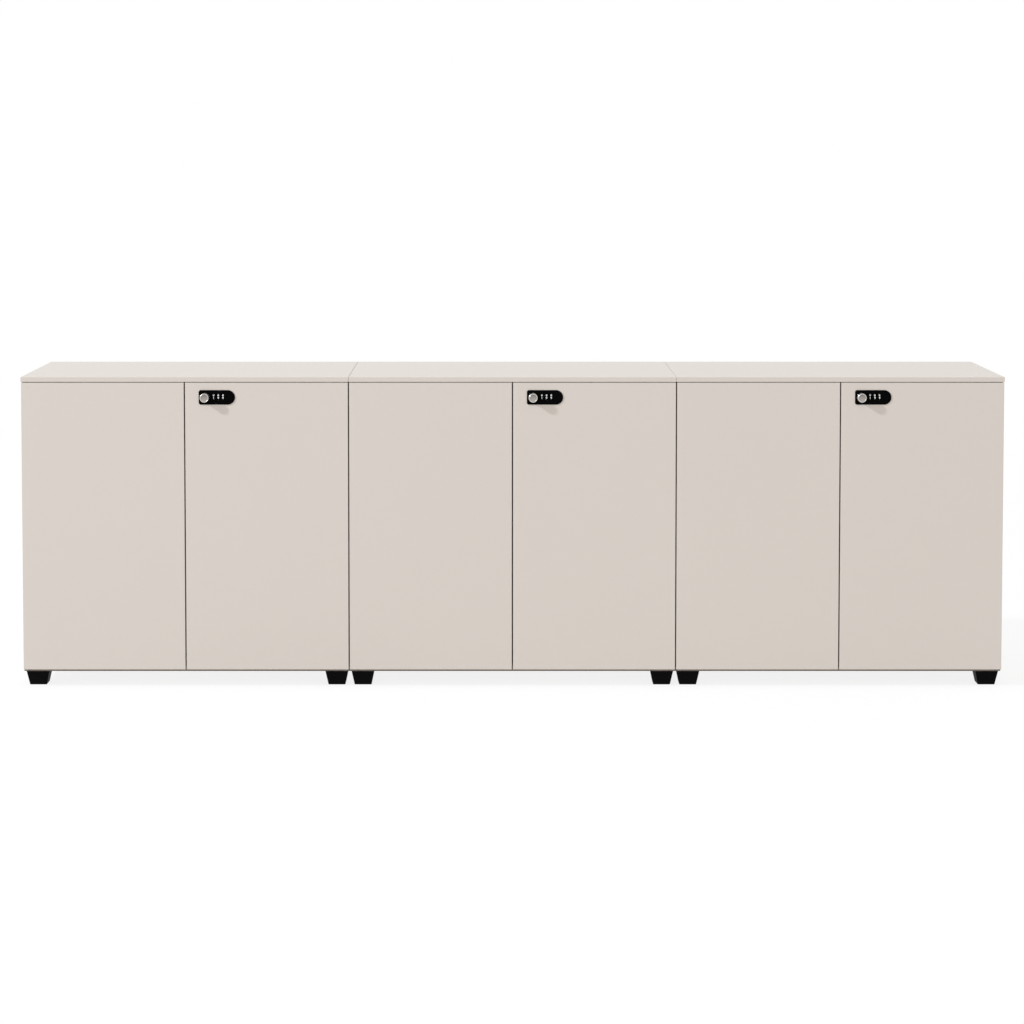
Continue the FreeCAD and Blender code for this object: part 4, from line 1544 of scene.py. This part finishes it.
    def rim_profile(self, face: float, disc: float, radius: float) -> list[Point]:
        """Trace the knob's rounded rim and its flank with the turned collar, back to its foot.

        Args:
            face: the depth of the knob's front.
            disc: the disc's radius.
            radius: the knob's radius.

        Returns:
            The profile's points, as radius and depth.
        """
        start, end = (face + depth for depth in self.collar)
        waist, bevel = radius - self.collar_depth, self.collar_bevel
        foot = face + self.knob_length
        in_by, back_by = self.foot_bevel
        return [
            (disc + self.groove_width, face + self.groove_floor),
            *((disc + out, face + back) for out, back in self.rim_inner),
            *((radius - inward, face + back) for inward, back in self.rim_outer),
            (radius, start),
            (waist, start + bevel),
            (waist, end - bevel),
            (radius, end),
            (radius, foot - back_by),
            (radius - in_by, foot),
            (self.shank_radius, foot),
        ]

    def spindle_profile(self, foot: float) -> list[Point]:
        """Trace the spindle from the knob's foot to its threaded end.

        Args:
            foot: the depth of the knob's foot.

        Returns:
            The profile's points, as radius and depth.
        """
        crest, pitch, end = self.thread_radius, self.thread_pitch, self.spindle_end
        thread = []
        depth = self.cam_end + pitch / 4
        while depth < end - pitch:
            thread += [(crest, depth), (crest - self.thread_depth, depth + pitch / 2)]
            depth += pitch
        return [
            (self.shank_radius, foot),
            (self.shank_radius, self.cam_seat),
            (crest, self.cam_seat),
            (crest, self.cam_end),
            *thread,
            *((radius, end - back) for radius, back in self.spindle_tip),
            (0.0, end),
        ]

    @cached_property
    def dial(self) -> bpy.types.Mesh:
        """Draw one dial, notched for the fingertip between its figures.

        Returns:
            The dial about its axle, which lies along X.
        """
        half, bevel = self.dial_width / 2, self.dial_bevel
        draft = Draft(DIAL_PLASTIC)
        rim = [
            draft.ring(
                notched_outline(self.dial_radius, self.figures, self.dial_notch, inset), depth
            )
            for inset, depth in (
                (bevel, -half),
                (0.0, bevel - half),
                (0.0, half - bevel),
                (bevel, half),
            )
        ]
        bore = [
            draft.ring(circle_outline(self.dial_bore, steps=24), depth) for depth in (-half, half)
        ]
        draft.wall(*rim)
        draft.wall(*bore)
        draft.cap(rim[0], bore[0])
        draft.cap(rim[-1], bore[-1])
        data = draft.done("dial", crease=25.0)
        data.transform(Matrix.Rotation(math.radians(90.0), 4, "Z"))
        return data

    @property
    def figure_pitch(self) -> float:
        """Return the angle from one figure to the next, in degrees."""
        return 360.0 / self.figures

    @cached_property
    def figure_ring(self) -> bpy.types.Mesh:
        """Draw the figures of a dial, bent around it and standing a hair proud.

        Returns:
            All the figures as one mesh, about the dial's middle.
        """
        ring = bmesh.new()
        for figure in range(self.figures):
            letters = bpy.data.curves.new("figure", "FONT")
            letters.body = str(figure)
            letters.size = self.figure_size
            letters.offset = self.figure_boldness
            letters.extrude = self.figure_thickness
            letters.align_x = "CENTER"
            letters.align_y = "CENTER"
            letters.resolution_u = self.figure_curves
            carrier = bpy.data.objects.new("figure", letters)
            flat = bpy.data.meshes.new_from_object(carrier)
            drawn = bmesh.new()
            drawn.from_mesh(flat)
            bmesh.ops.remove_doubles(drawn, verts=drawn.verts, dist=NEAR)
            self.bend(drawn, self.figure_pitch * (0.5 - figure))
            drawn.to_mesh(flat)
            drawn.free()
            ring.from_mesh(flat)
            bpy.data.objects.remove(carrier)
            bpy.data.curves.remove(letters)
            bpy.data.meshes.remove(flat)
        data = bpy.data.meshes.new("dial_figures")
        ring.to_mesh(data)
        ring.free()
        data.materials.append(FIGURE_PAINT.material())
        return data

    def bend(self, drawn: bmesh.types.BMesh, angle: float) -> None:
        """Wrap a flat figure around the dial.

        Args:
            drawn: the figure, upright in its XY plane, in millimetres.
            angle: where its middle goes, in degrees above the dial's front.
        """
        middle = sum((vert.co.y for vert in drawn.verts), 0.0) / len(drawn.verts)
        half = self.figure_cuts // 2
        for step in range(-half, half + 1):
            cut = middle + step * self.figure_size / self.figure_cuts
            parts = drawn.verts[:] + drawn.edges[:] + drawn.faces[:]
            bmesh.ops.bisect_plane(drawn, geom=parts, plane_co=(0, cut, 0), plane_no=(0, 1, 0))
        low = min(vert.co.y for vert in drawn.verts)
        high = max(vert.co.y for vert in drawn.verts)
        for vert in drawn.verts:
            x, y, out = vert.co
            turn = math.radians(angle) + (y - (low + high) / 2) / self.dial_radius
            reach = self.dial_radius + out
            vert.co = (x * MM, -reach * math.cos(turn) * MM, reach * math.sin(turn) * MM)

    @cached_property
    def nut(self) -> bpy.types.Mesh:
        """Draw the washer and the nut that hold the cam on the spindle.

        Returns:
            The washer and the nut as one mesh.
        """
        draft = Draft(SCREW_STEEL)
        inner, outer, bevel = self.nut_bore, self.washer_radius, self.washer_bevel
        start = self.cam_end
        seat = start + self.washer_height
        draft.turned(
            [
                (inner, start),
                (outer - bevel, start),
                (outer, start + bevel),
                (outer, seat - bevel),
                (outer - bevel, seat),
                (inner, seat),
                (inner, start),
            ],
            steps=40,
        )
        end = seat + self.nut_height
        in_by, back_by = self.nut_bevel
        hexagon = [
            draft.ring(circle_outline(radius, steps=6), depth)
            for radius, depth in (
                (self.nut_radius - in_by, seat),
                (self.nut_radius, seat + back_by),
                (self.nut_radius, end - back_by),
                (self.nut_radius - in_by, end),
            )
        ]
        bore = [draft.ring(circle_outline(inner, steps=24), depth) for depth in (seat, end)]
        draft.wall(*hexagon)
        draft.wall(*bore)
        draft.cap(hexagon[0], bore[0])
        draft.cap(hexagon[-1], bore[-1])
        return draft.done("cam_nut", crease=25.0)

    def build(self, unit: Cupboard) -> None:
        """Fit the lock to a cupboard's right door.

        Args:
            unit: the cupboard.
        """
        door_face = unit.box("right_door")[0].y
        low, high = unit.box("lock_knob")
        spindle = Vector(((low.x + high.x) / 2, door_face, (low.z + high.z) / 2))
        place = Matrix.Translation(spindle)
        door, turning = unit.node("right_door"), unit.node("lock")

        housing = fit(self.housing, unit.node("lock_plate"), door, place)
        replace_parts(housing, unit.node("lock_housing"))
        fit(self.rib, unit.node("lock_rib"), door, place)
        knob = fit(self.knob, unit.node("knob"), turning, place)
        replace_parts(knob, unit.node("lock_knob"))
        fit(self.nut, unit.node("cam_nut"), turning, place)
        dress(unit.node("lock_cam"), STEEL)

        back = self.case_depth * MM
        places = [
            Facing.BACK.at(spindle + Vector((x * MM, back, z * MM)))
            for x in self.case_screws_across
            for z in self.case_screws_up
        ]
        name = unit.node("lock_screws")
        fit(repeated(name, self.screw.mesh, places), name, door)

        for number, shown in enumerate(self.figures_shown, start=1):
            dial = unit.node(f"lock_dial_{number}")
            low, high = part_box(dial)
            turn = math.radians(-self.figure_pitch * shown - self.figure_rise)
            seat = Matrix.Translation((low + high) / 2) @ Matrix.Rotation(turn, 4, "X")
            ring = fit(self.dial, unit.node(f"dial_{number}"), dial, seat)
            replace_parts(ring, dial)
            fit(self.figure_ring, unit.node(f"figures_{number}"), dial, seat)


@dataclass
class Fittings:
    """The steel and plastic fittings that the whole row shares."""

    bright_nodes: tuple[str, ...] = ("lock_strikes", "shelf_pegs", "joining_bolts", "foot_studs")
    dark_nodes: tuple[str, ...] = ("lower_pivots", "upper_pivots")
    strike_screw: Screw = field(default_factory=lambda: Screw(radius=3.0, rise=0.9))
    strike_plate: float = 2.0
    strike_spread: float = 7.0
    strike_screw_inset: float = 9.0
    buffer_radius: float = 3.5
    buffer_rise: float = 1.7
    buffer_edge: float = 0.3
    buffer_angles: tuple[float, ...] = (15.0, 32.0, 49.0, 66.0, 80.0)
    bolt_head_radius: float = 7.0
    bolt_recess: Screw = field(
        default_factory=lambda: Screw(
            radius=5.6, rise=0.5, recess_reach=3.0, recess_width=1.3, recess_depth=1.6, seat=0.3
        )
    )

    def buffer_mesh(self) -> bpy.types.Mesh:
        """Turn one clear buffer.

        Returns:
            The buffer, looking along -Y.
        """
        radius, rise, edge = self.buffer_radius, self.buffer_rise, self.buffer_edge
        arc = [math.radians(angle) for angle in self.buffer_angles]
        dome = [
            (radius * math.cos(angle), -edge - (rise - edge) * math.sin(angle)) for angle in arc
        ]
        draft = Draft(BUFFER_RUBBER)
        profile = [(0.0, 0.0), (radius, 0.0), (radius, -edge), *dome, (0.0, -rise)]
        draft.turned(profile, steps=28)
        return draft.done("door_buffer", crease=50.0)

    def buffer_places(self, row: Sequence[Cupboard]) -> list[Matrix]:
        """Find the four buffers of each cupboard.

        Args:
            row: the cupboards.

        Returns:
            The buffers' places.
        """
        low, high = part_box("door_buffers")
        radius = self.buffer_radius * MM
        inset = low.x + radius - row[0].left
        return [
            Facing.FRONT.at((x, high.y, z))
            for unit in row
            for x in (unit.left + inset, unit.right - inset)
            for z in (low.z + radius, high.z - radius)
        ]

    def strike_screw_places(self, row: Sequence[Cupboard]) -> list[Matrix]:
        """Find the two screws under each strike.

        Args:
            row: the cupboards.

        Returns:
            The screws' places.
        """
        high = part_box("lock_strikes")[1]
        depth = high.y - self.strike_screw_inset * MM
        height = high.z - self.strike_plate * MM
        spread = self.strike_spread * MM
        spindles = [sum(corner.x for corner in unit.box("lock_knob")) / 2 for unit in row]
        return [
            Facing.DOWN.at((x + turn * spread, depth, height))
            for x in spindles
            for turn in (-1, 1)
        ]

    def bolt_places(self, row: Sequence[Cupboard]) -> list[Matrix]:
        """Find both ends of the four joining bolts between neighbouring cupboards.

        Args:
            row: the cupboards.

        Returns:
            The ends' places.
        """
        low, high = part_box("joining_bolts")
        head = self.bolt_head_radius * MM
        places = []
        for unit, after in zip(row, row[1:]):
            joint = unit.right
            reach = (high.x - low.x - (len(row) - 2) * (after.right - joint)) / 2
            for y in (low.y + head, high.y - head):
                for z in (low.z + head, high.z - head):
                    places.append(Facing.LEFT.at((joint - reach, y, z)))
                    places.append(Facing.RIGHT.at((joint + reach, y, z)))
        return places

    def build(self, row: Sequence[Cupboard]) -> None:
        """Dress the fittings and fit their screws and buffers.

        Args:
            row: the cupboards.
        """
        for nodes, finish in ((self.bright_nodes, STEEL), (self.dark_nodes, DARK_STEEL)):
            for node in nodes:
                dress(node, finish)
        dress("feet", FOOT_PLASTIC)

        domes = repeated("buffer_domes", self.buffer_mesh(), self.buffer_places(row))
        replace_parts(fit(domes, "buffer_domes", "carcass"), "door_buffers")

        strike_places = self.strike_screw_places(row)
        screws = repeated("strike_screws", self.strike_screw.mesh, strike_places)
        fit(screws, "strike_screws", "carcass")

        recesses = repeated("bolt_faces", self.bolt_recess.mesh, self.bolt_places(row))
        fit(recesses, "bolt_faces", "carcass")


# ---------------------------------------------------------------- studio


@dataclass
class Studio:
    """The plain pale floor, the even sky, the lamp and the camera."""

    camera_place: Triple = (-0.0475, -6.5936, 1.3367)
    camera_tilt: float = 3.168
    lens: float = 92.345
    shift: Point = (0.0185, -0.22)
    view_end: float = 200.0
    sky_color: Color = (0.717, 0.703, 0.692)
    key_aim: Triple = (0.0, -0.2, 0.4)
    key_way: Triple = (-2.53, -1.0, 1.7)
    key_color: Color = (0.92, 1.0, 1.06)
    key_distance: float = 28.0
    key_size: float = 1.2
    key_power: float = 4950.0
    floor_half: float = 40.0
    floor_color: Color = (0.86, 0.86, 0.86)
    floor_glow: float = 0.85
    shadow_reach: Point = (2.4, 6.0)

    def make_camera(self) -> None:
        """Stand the camera in front of the row, tilted slightly down, with a shifted view."""
        data = bpy.data.cameras.new("camera")
        data.lens = self.lens
        data.shift_x, data.shift_y = self.shift
        data.clip_end = self.view_end
        camera = bpy.data.objects.new("camera", data)
        camera.location = self.camera_place
        camera.rotation_euler = (math.radians(90.0 - self.camera_tilt), 0.0, 0.0)
        bpy.context.scene.collection.objects.link(camera)
        bpy.context.scene.camera = camera

    def make_key(self) -> None:
        """Hang the small lamp far up on the left, a little in front of the row."""
        data = bpy.data.lights.new("key", "AREA")
        data.shape = "DISK"
        data.size = self.key_size
        data.energy = self.key_power
        data.color = self.key_color
        lamp = bpy.data.objects.new("key", data)
        way = Vector(self.key_way).normalized()
        lamp.location = Vector(self.key_aim) + way * self.key_distance
        lamp.rotation_mode = "QUATERNION"
        lamp.rotation_quaternion = way.to_track_quat("Z", "Y")
        bpy.context.scene.collection.objects.link(lamp)

    @staticmethod
    def seen_directly(wiring: Wiring) -> Socket:
        """Tell the rays that show a surface from those that light others.

        Args:
            wiring: the tree to add the node to.

        Returns:
            A number that is 1 for camera, mirror and glass rays, and 0 for the rest.
        """
        rays = wiring.add("LightPath").outputs
        shown = wiring.calc("MAXIMUM", rays["Is Camera Ray"], rays["Is Glossy Ray"])
        return wiring.calc("MAXIMUM", shown, rays["Is Transmission Ray"])

    def make_sky(self) -> None:
        """Surround the row with an even light that is white where it is seen."""
        world = bpy.data.worlds.new("studio")
        world.use_nodes = True
        wiring = Wiring(world.node_tree)
        color = wiring.blend(self.seen_directly(wiring), self.sky_color, (1.0, 1.0, 1.0))
        wiring.connect(color, world.node_tree.nodes["Background"].inputs["Color"])
        bpy.context.scene.world = world

    def make_floor(self) -> None:
        """Lay the pale floor, which keeps the row's soft shadow and is plain white far away."""
        half = self.floor_half
        data = bpy.data.meshes.new("floor")
        corners = [(-half, -half, 0.0), (half, -half, 0.0), (half, half, 0.0), (-half, half, 0.0)]
        data.from_pydata(corners, [], [(0, 1, 2, 3)])
        material = bpy.data.materials.new("studio_floor")
        material.use_nodes = True
        wiring = Wiring(material.node_tree)
        nodes = material.node_tree.nodes
        nodes.remove(nodes["Principled BSDF"])
        shown = self.seen_directly(wiring)
        color = wiring.blend(shown, self.floor_color, (1.0, 1.0, 1.0))
        plain = wiring.add("BsdfDiffuse", {"Color": color}).outputs[0]
        glow = wiring.add("Emission", {"Color": (1.0, 1.0, 1.0, 1.0)}).outputs[0]
        away = wiring.vector("LENGTH", wiring.add("TexCoord").outputs["Object"])
        near, far = self.shadow_reach
        spread = {"Value": away, "From Min": near, "From Max": far, "To Min": self.floor_glow}
        fade = wiring.add("MapRange", spread).outputs[0]
        share = wiring.calc("MULTIPLY", shown, fade)
        mixed = wiring.add("MixShader", {0: share, 1: plain, 2: glow}).outputs[0]
        wiring.connect(mixed, nodes["Material Output"].inputs["Surface"])
        data.materials.append(material)
        floor = bpy.data.objects.new("floor", data)
        bpy.context.scene.collection.objects.link(floor)

    def build(self) -> None:
        """Set up the camera, the light and the floor."""
        bpy.context.scene.view_settings.view_transform = "Standard"
        self.make_camera()
        self.make_key()
        self.make_sky()
        self.make_floor()
        LOG.info("studio ready")


def main() -> None:
    """Build the studio, and dress the row from its carcass to its smallest fittings."""
    logging.basicConfig(level=logging.INFO, format="%(name)s: %(message)s")
    Studio().build()
    row = [Cupboard(number + 1) for number in range(UNITS)]
    Carcass().build(row)
    door_finish = board_finish("melamine_door", "unit1_left_door", Axis.Y, MELAMINE_COLOR)
    doors, lock = DoorPair(), CombinationLock()
    for unit in row:
        doors.build(unit, door_finish)
        lock.build(unit)
    Fittings().build(row)


if __name__ == "__main__":
    main()
